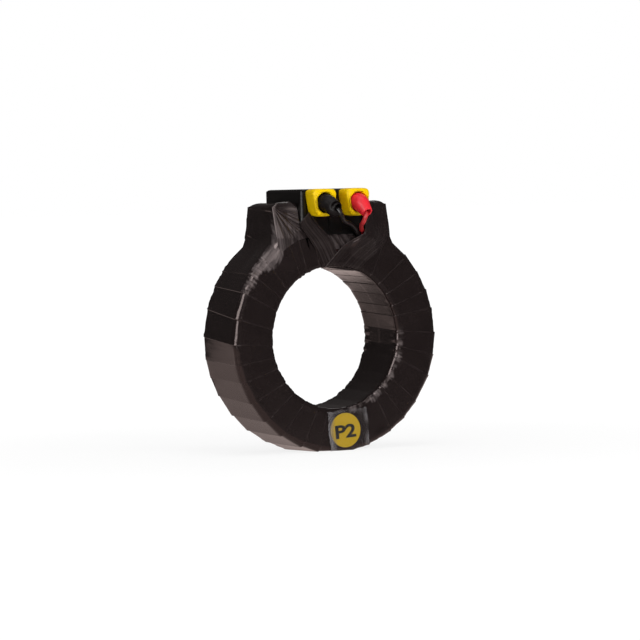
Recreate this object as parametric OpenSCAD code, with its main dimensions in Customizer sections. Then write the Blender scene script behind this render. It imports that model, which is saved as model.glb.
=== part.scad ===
// Window-type current transformer. A taped ring stands upright on a small flat. Two
// shoulders and a terminal box are bound to its top, and the two ends of its winding come
// out of the tape to the terminals on the front of the box.
// Millimetres. The window's axis is Y, the front faces -Y, and the origin is the centre of
// the window.

/* [Ring] */
// Diameter of the window that the primary conductor passes through
window_d = 80; // [60:1:86]
// Outside diameter over the tape
ring_d = 130; // [126:1:160]
// Depth of the ring along the conductor
ring_depth = 39; // [34:0.5:50]
// Radius on the ring's four rims
rim_r = 3; // [1.5:0.5:3]
// Width of the flat that the ring stands on
foot_w = 24; // [16:1:28]

/* [Tape and winding] */
// Build-up of the outer PVC tape
tape_t = 3; // [2.5:0.5:4]
// Thickness of the tape over the winding
winding_tape_t = 1; // [0.5:0.25:1.5]
// Build-up of the secondary winding
winding_t = 3; // [2:0.5:4]
// Thickness of the pressboard round the core
liner_t = 1; // [0.5:0.25:1.5]

/* [Shoulders] */
// Width over both shoulders
shoulder_w = 74; // [64:1:80]
// Height of the shoulders above the ring's outside
shoulder_rise = 11.4; // [8:0.1:13]
// Depth of the shoulders at their top
shoulder_depth = 29; // [26:1:34]

/* [Terminal box] */
// Width of the box
box_w = 44; // [43:1:48]
// How far the box stands proud of the ring's front and rear faces
box_overhang = 1.2; // [1:0.05:3]
// Height of the box above the ring's outside
box_rise = 19.3; // [17.5:0.1:24]
// Thickness of the box's walls
box_wall = 3; // [2:0.5:3.5]
// Radius on the box's upright edges
box_edge_r = 1.8; // [1:0.1:4]
// Radius on the box's top edges
box_top_r = 2.5; // [1:0.5:3]
// Depth of the panels sunk into the front wall
panel_sink = 1.2; // [0.6:0.2:1.6]
// Thickness of the saddle's web under the box
web_t = 2; // [1.5:0.5:3]
// Width of the aprons that straddle the ring
apron_w = 34; // [30:1:36]
// How far the aprons reach below the ring's outside
apron_drop = 6.5; // [5:0.5:8]
// Thickness of the rear cover
cover_t = 2.5; // [2:0.5:3]

/* [Terminals] */
// Distance between the two terminals
terminal_pitch = 21.6; // [19:0.1:22]
// How far the pair of terminals sits to the left of the box's middle
terminal_shift = 0.6; // [0:0.1:1]
// Width and height of a yellow shroud
shroud_w = 14.6; // [13.5:0.1:15.4]
// Length of a shroud
shroud_len = 10.8; // [9:0.1:14]
// Mouth of a shroud
shroud_mouth_d = 11.2; // [11:0.1:12]
// Diameter of a terminal stud
stud_d = 4; // [3:0.5:4]
// Diameter of a boot inside its shroud
boot_base_d = 10.2; // [9.5:0.1:10.6]
// Diameter of a boot's tip
boot_tip_d = 6.2; // [5.6:0.2:6.6]
// Hole in a boot's tip
boot_hole_d = 4.6; // [3.8:0.1:4.8]
// Droop of the black boot's cone below level
black_droop = 20; // [0:1:40]
// Droop of the red boot's cone below level
red_droop = 42; // [0:1:45]
// How far the black boot's cone is turned to the right
black_turn = 17; // [0:1:25]
// How far the red boot's cone is turned to the right
red_turn = 7; // [0:1:25]
// Length of a boot's cone
boot_cone_len = 9.4; // [8:0.1:12]

/* [Leads and labels] */
// Diameter of a lead
lead_d = 2.5; // [1.5:0.1:2.6]
// Diameter of a polarity label
label_d = 19.5; // [12:0.5:19.5]
// Width of the clear film over a label
film_w = 26; // [20:0.5:30]
// Turn of the label and its film about the window, from the bottom
label_turn = 4.3; // [-20:0.1:20]
// Hole for the cable through the rear cover's grommet
cable_d = 6; // [4:0.5:6.5]

/* [Hidden] */

$fn = 96;
hull_fn = 32;
arc_steps = 6;
layer_gap = 0.1;
fit_gap = 0.15;

ring_r = ring_d / 2;
window_r = window_d / 2;
front_y = -ring_depth / 2;
foot_z = -sqrt(ring_r * ring_r - foot_w * foot_w / 4);

// Stack of the ring's layers, each as an offset from the outside of the tape
wound_off = tape_t + layer_gap;
copper_off = wound_off + winding_tape_t + layer_gap;
board_off = copper_off + winding_t + layer_gap;
core_off = board_off + liner_t + layer_gap;

// Shoulders and the saddle block in them
shoulder_top = ring_r + shoulder_rise;
shoulder_chamfer = 1.6;
lean_start = ring_r - 8;
knee_z = ring_r - 9;
flare_reach = 8;
flare_x = shoulder_w / 2 + flare_reach;
flare_z = sqrt(ring_r * ring_r - flare_x * flare_x);

// Terminal box
saddle_r = ring_r - tape_t + layer_gap;
box_floor = saddle_r + web_t;
box_top = ring_r + box_rise;
box_half_y = ring_depth / 2 + box_overhang;
apron_bottom = ring_r - apron_drop;
apron_in = ring_depth / 2 - tape_t + fit_gap;
// How far an apron lies back from the box's front or rear wall
apron_inset = 0.8;
apron_out = box_half_y - apron_inset;
apron_lip_h = 2.5;
apron_lip_out = 0.4;
cavity_floor = box_floor + box_wall;
cavity_top = box_top - box_wall;
cavity_half_x = box_w / 2 - box_wall;
wall_in = box_half_y - box_wall;

// Terminals
panel_y = -box_half_y + panel_sink;
panel_rim = 0.3;
terminal_z = box_top - panel_rim - fit_gap - shroud_w / 2;
shroud_corner_r = 3.2;
shroud_edge_r = 1.2;
shroud_back_t = 2;
shroud_front_y = panel_y - shroud_len;
seat_y = panel_y - shroud_back_t;
collar_t = 1.5;
collar_r = stud_d / 2 + 1.6;
stud_tail = 12;
stud_reach = 6;
nut_flats = stud_d * 1.75;
nut_h = stud_d * 0.8;
washer_t = 0.8;
washer_r = stud_d * 1.1;

// Lead sockets: a sleeve on the stud, and a narrower barrel crimped on the lead
socket_y = seat_y - collar_t - layer_gap;
socket_end = seat_y - stud_reach - 1;
barrel_end = socket_end - 1.8;
socket_r = stud_d / 2 + 0.9;
barrel_r = lead_d / 2 + 0.6;

// Boots
boot_back_y = socket_y - 1;
boot_bend_y = shroud_front_y - 0.4;
boot_knee = 2.5;
boot_sides = 24;
boot_bore_r = socket_r + fit_gap;

// Rear cover, its screws and its grommet
cover_in = box_half_y - cover_t;
boss_r = 2.4;
boss_len = 10;
screw_d = 2.5;
screw_len = 8;
screw_head_d = 4.4;
screw_head_h = 1.6;
boss_x = cavity_half_x - boss_r + 0.2;
boss_dz = (cavity_top - cavity_floor) / 2 - boss_r + 0.2;
cavity_mid = (cavity_top + cavity_floor) / 2;
grommet_hole_r = cable_d / 2 + 1.2;
grommet_lip = 1.1;
grommet_lip_t = 1;

// The lens-shaped gap left in the tape round the front of the box, as x and height from
// the ring's outside. Its left edge is the last turn of the left-hand run of tape, and its
// right edge the first turn of the right-hand run, which laps over the left-hand one.
gap_floor_y = ring_depth / 2 - tape_t / 2;
gap_outline = [
    [-box_w / 2 - 1, 11], [-17.5, 6], [-10, -2.5], [-6.2, -6], [0.5, -15],
    [4.5, -13], [16, -6.2], [19, 0], [box_w / 2 + 1, 6], [box_w / 2 + 1, 11]
];

// The tape tents over the leads where they go under it
tent_peak = [16.6, 5.3, -5.8];
tent_foot = [[11, -3], [23, -0.5], [33, -11], [30, -20.5], [18, -21.5], [9, -12]];
tent_skin = 0.9;
tent_peak_r = 2.9;

// Tape lapped up the box's lower corners: its thickness, and its height from the ring's outside
lap_t = 0.8;
front_lap_top = 6;
rear_lap_top = box_floor + box_wall - ring_r - 0.4;

// Routes of the leads. Each starts in its socket's barrel, and the points after that are x,
// reach in front of the ring's face, and height from the ring's outside. The points in the boot
// hang from the terminals' own height.
terminal_rise = terminal_z - ring_r;
function lead_start(side) = [for (y = [socket_end - 0.3, barrel_end + 0.4, barrel_end - 0.8])
    [terminal_x(side), front_y - y, terminal_rise]];

black_route = concat(lead_start(-1), [
    [-10.3, 14.6, terminal_rise - 1.75], [-9.4, 17.4, terminal_rise - 3.15],
    [-8.7, 20, terminal_rise - 4.45], [-7.5, 21, 4.6], [-5.2, 18.6, 2.3],
    [-2, 15.4, 0.8], [2, 11.6, -0.2], [6, 8.6, -1.2], [9.6, 6.2, -3.2],
    [12.9, 3.2, -5.9], [16.2, 1, -9], [19.2, 0.2, -11.6], [21.4, -0.9, -13.8],
    [22, -2.4, -14.6], [22, -4, -14.6]
]);
red_route = concat(lead_start(1), [
    [10.4, 14.6, terminal_rise - 3.55], [10.3, 16.6, terminal_rise - 5.65],
    [10.2, 18.4, terminal_rise - 7.05], [9.2, 18.9, 2.5], [8.9, 17.2, 0.2],
    [9.5, 14.6, -1], [11.4, 10.4, -2.2], [14, 6, -3.6], [16.4, 2.8, -5], [19.2, 1.2, -7.6],
    [22.4, 0.6, -10.4], [25, -0.7, -13], [25.8, -2.4, -14], [25.8, -4, -14]
]);
lead_sides = 8;
lead_steps = 3;

label_t = 0.2;
film_t = 0.35;
film_shift = 2;
label_z = -(window_r + rim_r + (ring_r - window_r - 2 * rim_r) / 2);

// ---- Helpers ----

// Quarter arc about a centre, from a starting angle
function arc(cx, cy, r, start) = r <= 0 ? [[cx, cy]] :
    [for (i = [0:arc_steps])
        [cx + r * cos(start + i * 90 / arc_steps), cy + r * sin(start + i * 90 / arc_steps)]];

// Rectangle with its own radius at each corner, from the top right one anticlockwise
function rounded(x0, x1, y0, y1, r) = concat(
    arc(x1 - r[0], y1 - r[0], r[0], 0), arc(x0 + r[1], y1 - r[1], r[1], 90),
    arc(x0 + r[2], y0 + r[2], r[2], 180), arc(x1 - r[3], y0 + r[3], r[3], 270));

// Where a terminal stands: side is -1 for the left one and 1 for the right one
function terminal_x(side) = side * terminal_pitch / 2 - terminal_shift;

function mirrored(points) = [for (i = [len(points) - 1:-1:0]) [-points[i][0], points[i][1]]];

// Point on a curve of one control point
function bend(a, b, c, t) = (1 - t) * (1 - t) * a + 2 * t * (1 - t) * b + t * t * c;

function lifted(points) = [for (p = points) [p[0], ring_r + p[1]]];

// Outline in X and Z, carried from y0 to y1
module along_y(y0, y1) {
    translate([0, y1, 0]) rotate([90, 0, 0]) linear_extrude(y1 - y0) children();
}

// Outline in Y and Z, carried from x0 to x1
module along_x(x0, x1) {
    translate([x0, 0, 0]) rotate([90, 0, 90]) linear_extrude(x1 - x0) children();
}

// Round bar or taper along Y: r0 is its radius at y0, and r1 at y1
module bar_y(y0, y1, r0, r1 = -1) {
    translate([0, y1, 0]) rotate([90, 0, 0])
        cylinder(h = y1 - y0, r1 = r1 < 0 ? r0 : r1, r2 = r0);
}

// Ring about Y, with rounded rims
module ring_of(r_in, r_out, half, r) {
    rotate([90, 0, 0]) rotate_extrude($fn = 180)
        polygon(rounded(r_in, r_out, -half, half, [r, r, r, r]));
}

// The ring's own shape, one layer further in for each step of off
module layer(off, r) {
    ring_of(window_r + off, ring_r - off, ring_depth / 2 - off, r);
}

module at_terminals() {
    for (side = [-1, 1]) at_terminal(side) children();
}

module at_terminal(side) {
    translate([terminal_x(side), 0, terminal_z]) children();
}

// ---- Core and winding ----

module core() {
    color("dimgray") layer(core_off, 0.3);
}

module liner(r) {
    color("tan") ring_of(r, r + liner_t, ring_depth / 2 - board_off, 0);
}

module core_inner_liner() {
    liner(window_r + board_off);
}

module core_outer_liner() {
    liner(ring_r - board_off - liner_t);
}

module core_washer(side) {
    color("tan") translate([0, side * (ring_depth / 2 - board_off - liner_t / 2), 0])
        ring_of(window_r + core_off, ring_r - core_off, liner_t / 2, 0);
}

module secondary_winding() {
    color("peru") difference() {
        layer(copper_off, 1.5);
        layer(copper_off + winding_t, 0);
    }
}

module winding_tape() {
    color("whitesmoke") difference() {
        layer(wound_off, 2);
        layer(wound_off + winding_tape_t, 1.5);
        lead_ends(lead_d / 2 + fit_gap);
    }
}

// Where the two leads pass through the winding's tape
module lead_ends(r) {
    for (route = [black_route, red_route]) let (p = route[len(route) - 1])
        translate([p[0], 0, ring_r + p[2]]) bar_y(front_y, 0, r);
}

// ---- Shoulders ----

function shoulder_side(inset) = [
    [-ring_depth / 2 + inset, window_r + tape_t + 2],
    [-ring_depth / 2 + inset, lean_start],
    [-shoulder_depth / 2 + inset, shoulder_top - inset],
    [shoulder_depth / 2 - inset, shoulder_top - inset],
    [ring_depth / 2 - inset, lean_start],
    [ring_depth / 2 - inset, window_r + tape_t + 2]
];

// Right half of the taped shoulders: chamfered top, upright side, and a flare that brings
// the tape down to the ring
function shoulder_half() = concat(
    [[shoulder_w / 2 - 2 * shoulder_chamfer, shoulder_top],
     [shoulder_w / 2, shoulder_top - shoulder_chamfer]],
    [for (i = [0:4]) bend([shoulder_w / 2, knee_z],
                          [shoulder_w / 2 + 1, flare_z + 4],
                          [flare_x, flare_z], i / 4)],
    [[flare_x - 8, flare_z - 8]]);

module taped_shoulders() {
    difference() {
        intersection() {
            along_y(-ring_depth, ring_depth)
                polygon(concat(mirrored(shoulder_half()), shoulder_half()));
            along_x(-ring_d, ring_d) polygon(shoulder_side(0));
        }
        bar_y(-ring_depth, ring_depth, window_r + tape_t + 2);
    }
}

module saddle_envelope(inset) {
    half = shoulder_w / 2 - inset;
    top = shoulder_top - inset;
    intersection() {
        along_y(-ring_depth, ring_depth) polygon([
            [-half, window_r + tape_t + 2], [half, window_r + tape_t + 2],
            [half, top - shoulder_chamfer], [half - 2 * shoulder_chamfer, top],
            [-half + 2 * shoulder_chamfer, top], [-half, top - shoulder_chamfer]
        ]);
        along_x(-half, half) polygon(shoulder_side(inset));
    }
}

module saddle_block() {
    color("dimgray") difference() {
        saddle_envelope(tape_t);
        bar_y(-ring_depth, ring_depth, saddle_r);
        along_y(-ring_depth, ring_depth)
            polygon(rounded(-box_w / 2 - fit_gap, box_w / 2 + fit_gap, box_floor, box_top,
                            [0, 0, 0, 0]));
    }
}

// ---- Outer tape ----

// Tape that runs up over one lower corner of the box
module corner_lap(side, face) {
    plate = 0.4;
    lap_out = box_half_y + fit_gap + lap_t;
    lap_top = face < 0 ? front_lap_top : rear_lap_top;
    lap_x = box_w / 2 + lap_t;
    rotate([0, 0, face < 0 ? 0 : 180]) hull() {
        along_y(front_y, front_y + plate) polygon(lifted([
            [side * (lap_x + 10), -3], [side * (lap_x + 8), -14],
            [side * 14, -18.5], [side * 1, -15.5], [side * 12, 0]
        ]));
        along_y(-lap_out, -lap_out + plate) polygon(lifted([
            [side * lap_x, lap_top], [side * lap_x, -3],
            [side * 8, -7.5], [side * 6.2, -6], [side * 10, -2.5], [side * 17.5, lap_top]
        ]));
    }
}

// Room for the shrouds, which the tape stops short of
module shroud_clearance() {
    half = shroud_w / 2 + 2 * fit_gap;
    at_terminals() along_y(-ring_depth, -box_half_y + 1)
        polygon(rounded(-half, half, -half, half, shroud_corner_r * [1, 1, 1, 1]));
}

module lead_tent(skin) {
    plate = 0.4;
    hull() {
        along_y(front_y, front_y + plate) offset(delta = skin - tent_skin)
            polygon(lifted(tent_foot));
        translate([tent_peak[0], front_y - tent_peak[1] + tent_skin - skin, ring_r + tent_peak[2]])
            bar_y(0, plate, tent_peak_r + skin - tent_skin, $fn = hull_fn);
    }
}

// Space behind the tent, down to the winding's tape
module lead_pocket() {
    along_y(front_y, front_y + tape_t - layer_gap) offset(delta = -2 * tent_skin)
        polygon(lifted(tent_foot));
    lead_tent(0);
}

module box_clearance() {
    along_y(-box_half_y - fit_gap, box_half_y + fit_gap)
        polygon(rounded(-box_w / 2 - fit_gap, box_w / 2 + fit_gap, box_floor - fit_gap, box_top,
                        [0, 0, 0, 0]));
    along_y(-box_half_y - fit_gap, box_half_y + fit_gap)
        polygon(rounded(-apron_w / 2 - fit_gap, apron_w / 2 + fit_gap, apron_bottom - fit_gap,
                        box_top, [0, 0, 0, 0]));
}

module tape_wrap() {
    color([0.12, 0.11, 0.11]) difference() {
        union() {
            layer(0, rim_r);
            taped_shoulders();
            for (side = [-1, 1], face = [-1, 1]) corner_lap(side, face);
            lead_tent(tent_skin);
        }
        layer(tape_t, 2);
        saddle_envelope(tape_t - layer_gap);
        box_clearance();
        along_y(-ring_depth, -gap_floor_y) polygon(lifted(gap_outline));
        along_y(gap_floor_y, ring_depth) polygon(lifted(mirrored(gap_outline)));
        lead_pocket();
        shroud_clearance();
        translate([-ring_d, -ring_depth, foot_z - ring_d]) cube([2 * ring_d, 2 * ring_depth, ring_d]);
    }
}

// ---- Terminal box ----

module box_shell() {
    intersection() {
        translate([0, 0, apron_bottom]) linear_extrude(box_top - apron_bottom)
            polygon(rounded(-box_w / 2, box_w / 2, -box_half_y, box_half_y,
                            box_edge_r * [1, 1, 1, 1]));
        along_y(-ring_depth, ring_depth)
            polygon(rounded(-box_w / 2, box_w / 2, box_floor, box_top, box_top_r * [1, 1, 0, 0]));
        along_x(-box_w, box_w)
            polygon(rounded(-box_half_y, box_half_y, box_floor, box_top,
                            box_top_r * [1, 1, 0, 0]));
    }
}

module apron(face) {
    y0 = face < 0 ? -apron_out : apron_in;
    y1 = face < 0 ? -apron_in : apron_out;
    translate([-apron_w / 2, y0, apron_bottom]) cube([apron_w, y1 - y0, box_floor - apron_bottom + 1]);
    translate([-apron_w / 2, face < 0 ? y0 - apron_lip_out : y0, apron_bottom])
        cube([apron_w, y1 - y0 + apron_lip_out, apron_lip_h]);
}

module terminal_box() {
    color([0.16, 0.14, 0.13]) difference() {
        union() {
            difference() {
                union() {
                    box_shell();
                    for (face = [-1, 1]) apron(face);
                }
                along_y(-wall_in, box_half_y + 1)
                    polygon(rounded(-cavity_half_x, cavity_half_x, cavity_floor, cavity_top,
                                    [0, 0, 0, 0]));
                for (side = [-1, 1]) panel_cut(side);
            }
            for (sx = [-1, 1], sz = [-1, 1])
                translate([sx * boss_x, 0, cavity_mid + sz * boss_dz])
                    bar_y(cover_in - boss_len, cover_in, boss_r);
        }
        at_terminals() bar_y(-box_half_y - 1, 0, stud_d / 2 + fit_gap);
        for (sx = [-1, 1], sz = [-1, 1])
            translate([sx * boss_x, 0, cavity_mid + sz * boss_dz])
                bar_y(cover_in - boss_len + 1, cover_in + 1, screw_d / 2 + layer_gap);
    }
}

// Sunk panel that one shroud stands in, open at its foot to the apron
module panel_cut(side) {
    half = shroud_w / 2 + fit_gap;
    x0 = terminal_x(side) - half;
    x1 = terminal_x(side) + half;
    along_y(-box_half_y - 1, panel_y)
        polygon(rounded(x0, x1, apron_bottom + apron_lip_h,
                        box_top - panel_rim, [1, 1, 0, 0]));
}

module rear_cover() {
    half_x = cavity_half_x - layer_gap;
    color([0.16, 0.14, 0.13]) difference() {
        along_y(cover_in, box_half_y)
            polygon(rounded(-half_x, half_x, cavity_floor + layer_gap, cavity_top - layer_gap,
                            [1, 1, 1, 1]));
        for (sx = [-1, 1], sz = [-1, 1])
            translate([sx * boss_x, 0, cavity_mid + sz * boss_dz])
                bar_y(cover_in - 1, box_half_y + 1, screw_d / 2 + fit_gap);
        translate([0, 0, cavity_mid]) bar_y(cover_in - 1, box_half_y + 1, grommet_hole_r);
    }
}

module cover_screws() {
    slot_w = 0.6;
    color("silver") for (sx = [-1, 1], sz = [-1, 1])
        translate([sx * boss_x, 0, cavity_mid + sz * boss_dz]) difference() {
            union() {
                bar_y(box_half_y - screw_len, box_half_y + 0.2, screw_d / 2);
                bar_y(box_half_y, box_half_y + screw_head_h, screw_head_d / 2,
                      screw_head_d / 2 - 0.6);
            }
            for (turn = [0, 90]) rotate([0, turn, 0])
                translate([-slot_w / 2, box_half_y + screw_head_h - 0.8, -1.2])
                    cube([slot_w, 1, 2.4]);
        }
}

module cable_grommet() {
    neck = grommet_hole_r - layer_gap;
    color("black") translate([0, 0, cavity_mid]) difference() {
        union() {
            bar_y(cover_in - grommet_lip_t - layer_gap, box_half_y + grommet_lip_t, neck);
            for (y = [cover_in - grommet_lip_t - layer_gap, box_half_y + layer_gap])
                bar_y(y, y + grommet_lip_t - layer_gap, grommet_hole_r + grommet_lip);
        }
        bar_y(cover_in - 3, box_half_y + 3, cable_d / 2);
    }
}

// ---- Terminals ----

// Square shroud with soft edges, open to the front, clamped by the stud through its back
module shroud(side) {
    half = shroud_w / 2;
    color("gold") at_terminal(side) difference() {
        intersection() {
            along_y(shroud_front_y, panel_y)
                polygon(rounded(-half, half, -half, half, shroud_corner_r * [1, 1, 1, 1]));
            along_x(-half, half)
                polygon(rounded(shroud_front_y, panel_y, -half, half, shroud_edge_r * [0, 1, 1, 0]));
            translate([0, 0, -half]) linear_extrude(shroud_w)
                polygon(rounded(-half, half, shroud_front_y, panel_y, shroud_edge_r * [0, 0, 1, 1]));
        }
        bar_y(shroud_front_y - 1, seat_y, shroud_mouth_d / 2);
        bar_y(seat_y - 1, panel_y + 1, stud_d / 2 + fit_gap);
    }
}

module stud(side) {
    color("goldenrod") at_terminal(side) {
        bar_y(seat_y - stud_reach, -wall_in + stud_tail, stud_d / 2);
        bar_y(seat_y - collar_t, seat_y, collar_r);
    }
}

module nut(y) {
    difference() {
        translate([0, y + nut_h, 0]) rotate([90, 0, 0])
            cylinder(h = nut_h, d = nut_flats / cos(30), $fn = 6);
        bar_y(y - 1, y + nut_h + 1, stud_d / 2 + layer_gap / 2);
    }
}

module stud_nuts() {
    color("silver") at_terminals() {
        nut(-wall_in + washer_t);
        nut(-wall_in + stud_tail - nut_h - 1);
    }
}

module stud_washers() {
    color("silver") at_terminals() difference() {
        bar_y(-wall_in, -wall_in + washer_t, washer_r);
        bar_y(-wall_in - 1, -wall_in + 2, stud_d / 2 + fit_gap);
    }
}

module lead_socket(side) {
    color("silver") at_terminal(side) difference() {
        union() {
            bar_y(socket_end - 0.4, socket_y, socket_r);
            bar_y(barrel_end, socket_end, barrel_r);
        }
        bar_y(socket_end, socket_y + 1, stud_d / 2 + layer_gap / 2);
        bar_y(barrel_end - 1, socket_end + 1, lead_d / 2 + fit_gap);
    }
}

// Soft boot: a sleeve swept round a soft bend, from its base in the shroud to its open tip
module boot(side, droop, turn) {
    knee = [terminal_x(side), boot_bend_y, terminal_z];
    heading = [sin(turn) * cos(droop), -cos(turn) * cos(droop), -sin(droop)];
    spine = concat([[knee[0], boot_back_y, knee[2]]],
                   [for (i = [0:4])
                       bend(knee + [0, boot_knee, 0], knee, knee + boot_knee * heading, i / 4)],
                   [knee + boot_cone_len * heading]);
    // How far along its taper each ring of the sleeve is
    knee_share = 2 * boot_knee / (boot_knee + boot_cone_len);
    taper = concat([0], [for (i = [0:4]) knee_share * i / 4], [1]);
    outside = [for (t = taper) boot_base_d / 2 * (1 - t) + boot_tip_d / 2 * t];
    inside = [for (t = taper) boot_bore_r * (1 - t) + boot_hole_d / 2 * t];
    sleeve(spine, outside, inside);
}

// Open sleeve along a path, with an outside and an inside radius at each of its points
module sleeve(path, outside, inside) {
    m = len(path);
    walls = concat(rings_along(path, outside, boot_sides), rings_along(path, inside, boot_sides));
    skins = concat(ring_faces(0, m, boot_sides, false), ring_faces(m, m, boot_sides, true));
    ends = [for (i = [0, m - 1], k = [0:boot_sides - 1]) let (
        a = i * boot_sides + k,
        b = i * boot_sides + (k + 1) % boot_sides,
        inner = m * boot_sides
    ) i == 0 ? [a, a + inner, b + inner, b] : [b, b + inner, a + inner, a]];
    polyhedron(walls, concat(skins, ends));
}

// ---- Leads ----

function route_point(p) = [p[0], front_y - p[1], ring_r + p[2]];

// Smooth curve through a route's points, in equal parts between neighbours
function smooth(route, i, t) = let (
    n = len(route) - 1,
    a = route_point(route[max(i - 1, 0)]),
    b = route_point(route[i]),
    c = route_point(route[min(i + 1, n)]),
    d = route_point(route[min(i + 2, n)])
) 0.5 * (2 * b + t * (c - a) + t * t * (2 * a - 5 * b + 4 * c - d)
         + t * t * t * (3 * b - a - 3 * c + d));

function unit(v) = v / norm(v);

// Rings of points round a path, with a radius for each of its points
function rings_along(path, radii, sides) = let (m = len(path)) [for (i = [0:m - 1]) let (
    along = unit(path[min(i + 1, m - 1)] - path[max(i - 1, 0)]),
    across = unit(cross(along, [0.3, 0.2, 0.93])),
    up = cross(across, along)
) for (k = [0:sides - 1]) let (a = k * 360 / sides)
    path[i] + radii[i] * (cos(a) * across + sin(a) * up)];

// Faces between m neighbouring rings, whose points start at ring number first
function ring_faces(first, m, sides, inward) = [
    for (i = [first:first + m - 2], k = [0:sides - 1]) let (
        a = i * sides + k,
        b = i * sides + (k + 1) % sides
    ) inward ? [a + sides, b + sides, b, a] : [a, b, b + sides, a + sides]];

// Round tube swept along a route, as one closed skin
module tube(route, r) {
    n = len(route) - 1;
    path = concat([for (i = [0:n - 1], k = [0:lead_steps - 1]) smooth(route, i, k / lead_steps)],
                  [route_point(route[n])]);
    m = len(path);
    ends = [[for (k = [lead_sides - 1:-1:0]) k],
            [for (k = [0:lead_sides - 1]) (m - 1) * lead_sides + k]];
    polyhedron(rings_along(path, [for (p = path) r], lead_sides),
               concat(ring_faces(0, m, lead_sides, false), ends));
}

module black_lead() {
    color([0.1, 0.1, 0.1]) tube(black_route, lead_d / 2);
}

module red_lead() {
    color([0.85, 0.12, 0.14]) tube(red_route, lead_d / 2);
}

// ---- Labels ----

module label(face) {
    y0 = face < 0 ? front_y - label_t : -front_y;
    color([0.85, 0.72, 0.2]) rotate([0, -label_turn, 0]) translate([0, 0, label_z])
        bar_y(y0, y0 + label_t, label_d / 2);
}

// Clear film across the face, from rim to rim, over the label
module label_film(face) {
    y0 = face < 0 ? front_y - film_t : -front_y;
    film_x = film_shift - film_w / 2;
    color([0.8, 0.8, 0.85, 0.4]) rotate([0, -label_turn, 0]) difference() {
        intersection() {
            translate([film_x, y0, -ring_r]) cube([film_w, film_t, ring_r]);
            bar_y(-ring_depth, ring_depth, ring_r - rim_r);
        }
        bar_y(-ring_depth, ring_depth, window_r + rim_r);
        translate([0, 0, label_z])
            bar_y(face < 0 ? front_y - label_t - 0.02 : -front_y - 1,
                  face < 0 ? front_y + 1 : -front_y + label_t + 0.02, label_d / 2 + 0.05);
    }
}

core();
core_inner_liner();
core_outer_liner();
core_washer(-1);  // core_front_washer
core_washer(1);  // core_rear_washer
secondary_winding();
winding_tape();
saddle_block();
tape_wrap();
terminal_box();
rear_cover();
cover_screws();
cable_grommet();
shroud(-1);  // left_shroud
shroud(1);  // right_shroud
stud(-1);  // left_stud
stud(1);  // right_stud
stud_nuts();
stud_washers();
lead_socket(-1);  // left_lead_socket
lead_socket(1);  // right_lead_socket
color([0.13, 0.12, 0.12]) boot(-1, black_droop, black_turn);  // black_boot
color([0.85, 0.15, 0.17]) boot(1, red_droop, red_turn);  // red_boot
black_lead();
red_lead();
label(-1);  // front_label
label_film(-1);  // front_label_film
label(1);  // rear_label
label_film(1);  // rear_label_film
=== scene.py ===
# %% [markdown]
# # A window-type current transformer
# A laminated steel ring, wound with copper and taped over with glossy black PVC. A cable or a
# busbar goes through its window, and a terminal box with two screw studs sits on its top.
# Blender only adds the looks here. A piece whose surface needs more than a new material gets
# a finer mesh, built from the same sizes.

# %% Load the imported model
import math
import bpy
import numpy as np
from mathutils import Matrix, Vector


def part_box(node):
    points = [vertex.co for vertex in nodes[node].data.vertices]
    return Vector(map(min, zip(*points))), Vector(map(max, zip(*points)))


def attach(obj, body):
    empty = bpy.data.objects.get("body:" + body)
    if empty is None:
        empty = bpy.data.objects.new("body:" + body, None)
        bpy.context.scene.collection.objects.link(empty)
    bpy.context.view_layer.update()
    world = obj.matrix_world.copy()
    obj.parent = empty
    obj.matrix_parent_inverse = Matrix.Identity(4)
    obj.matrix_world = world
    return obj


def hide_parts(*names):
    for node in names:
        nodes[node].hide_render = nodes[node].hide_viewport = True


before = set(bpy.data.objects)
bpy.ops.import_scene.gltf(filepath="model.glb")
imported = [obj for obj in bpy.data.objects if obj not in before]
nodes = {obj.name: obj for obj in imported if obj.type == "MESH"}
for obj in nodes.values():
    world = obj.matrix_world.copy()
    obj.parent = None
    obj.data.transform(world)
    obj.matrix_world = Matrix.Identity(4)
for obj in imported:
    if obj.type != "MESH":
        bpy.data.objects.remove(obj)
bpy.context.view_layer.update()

MM = 0.001
rng = np.random.default_rng(7)

# %% [markdown]
# ## Sizes that several pieces share
# All lengths below are millimetres, as on a workshop drawing. The window's axis is Y, the
# front faces -Y and +Z is up. Sizes that a solid already has are measured from its box.

# %% Shared sizes
WINDOW_R = 40.0
RING_R = 65.0
RING_HALF = 19.5
RIM_R = 3.0
FOOT_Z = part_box("tape_wrap")[0][2] / MM
print("foot at", round(FOOT_Z, 2), "mm")


def smoothstep(low_end, high_end, value):
    t = np.clip((np.asarray(value, float) - low_end) / (high_end - low_end), 0, 1)
    return t * t * (3 - 2 * t)


def ramp(low_end, high_end, value):
    """smoothstep for one number."""
    return float(smoothstep(low_end, high_end, value))


def middle(node):
    """Middle of a solid's box in millimetres."""
    return [(a + b) / 2 / MM for a, b in zip(*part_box(node))]


def mesh_piece(name, points, faces, uvs=None, flat=False):
    """A mesh object at the origin. points are millimetres, uvs one pair for each corner."""
    mesh = bpy.data.meshes.new(name)
    places = [tuple(p) for p in np.asarray(points, float) * MM]
    mesh.from_pydata(places, [], [list(map(int, f)) for f in faces])
    if uvs is not None:
        layer = mesh.uv_layers.new(name="tape")
        layer.data.foreach_set("uv", np.asarray(uvs, float).ravel())
    mesh.validate()
    mesh.update()
    if not flat:
        mesh.polygons.foreach_set("use_smooth", [True] * len(mesh.polygons))
    piece = bpy.data.objects.new(name, mesh)
    bpy.context.scene.collection.objects.link(piece)
    return piece


def set_weight(piece, name, values):
    """Gives each point one number, under a name that a shader or a tree can read."""
    piece.data.attributes.new(name, "FLOAT", "POINT").data.foreach_set("value", values)


def flipped(faces):
    """The same faces, turned to look the other way."""
    return [face[:1] + face[:0:-1] for face in faces]


def angles(count):
    """Equal steps round a circle."""
    return [2 * math.pi * i / count for i in range(count)]


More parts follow.
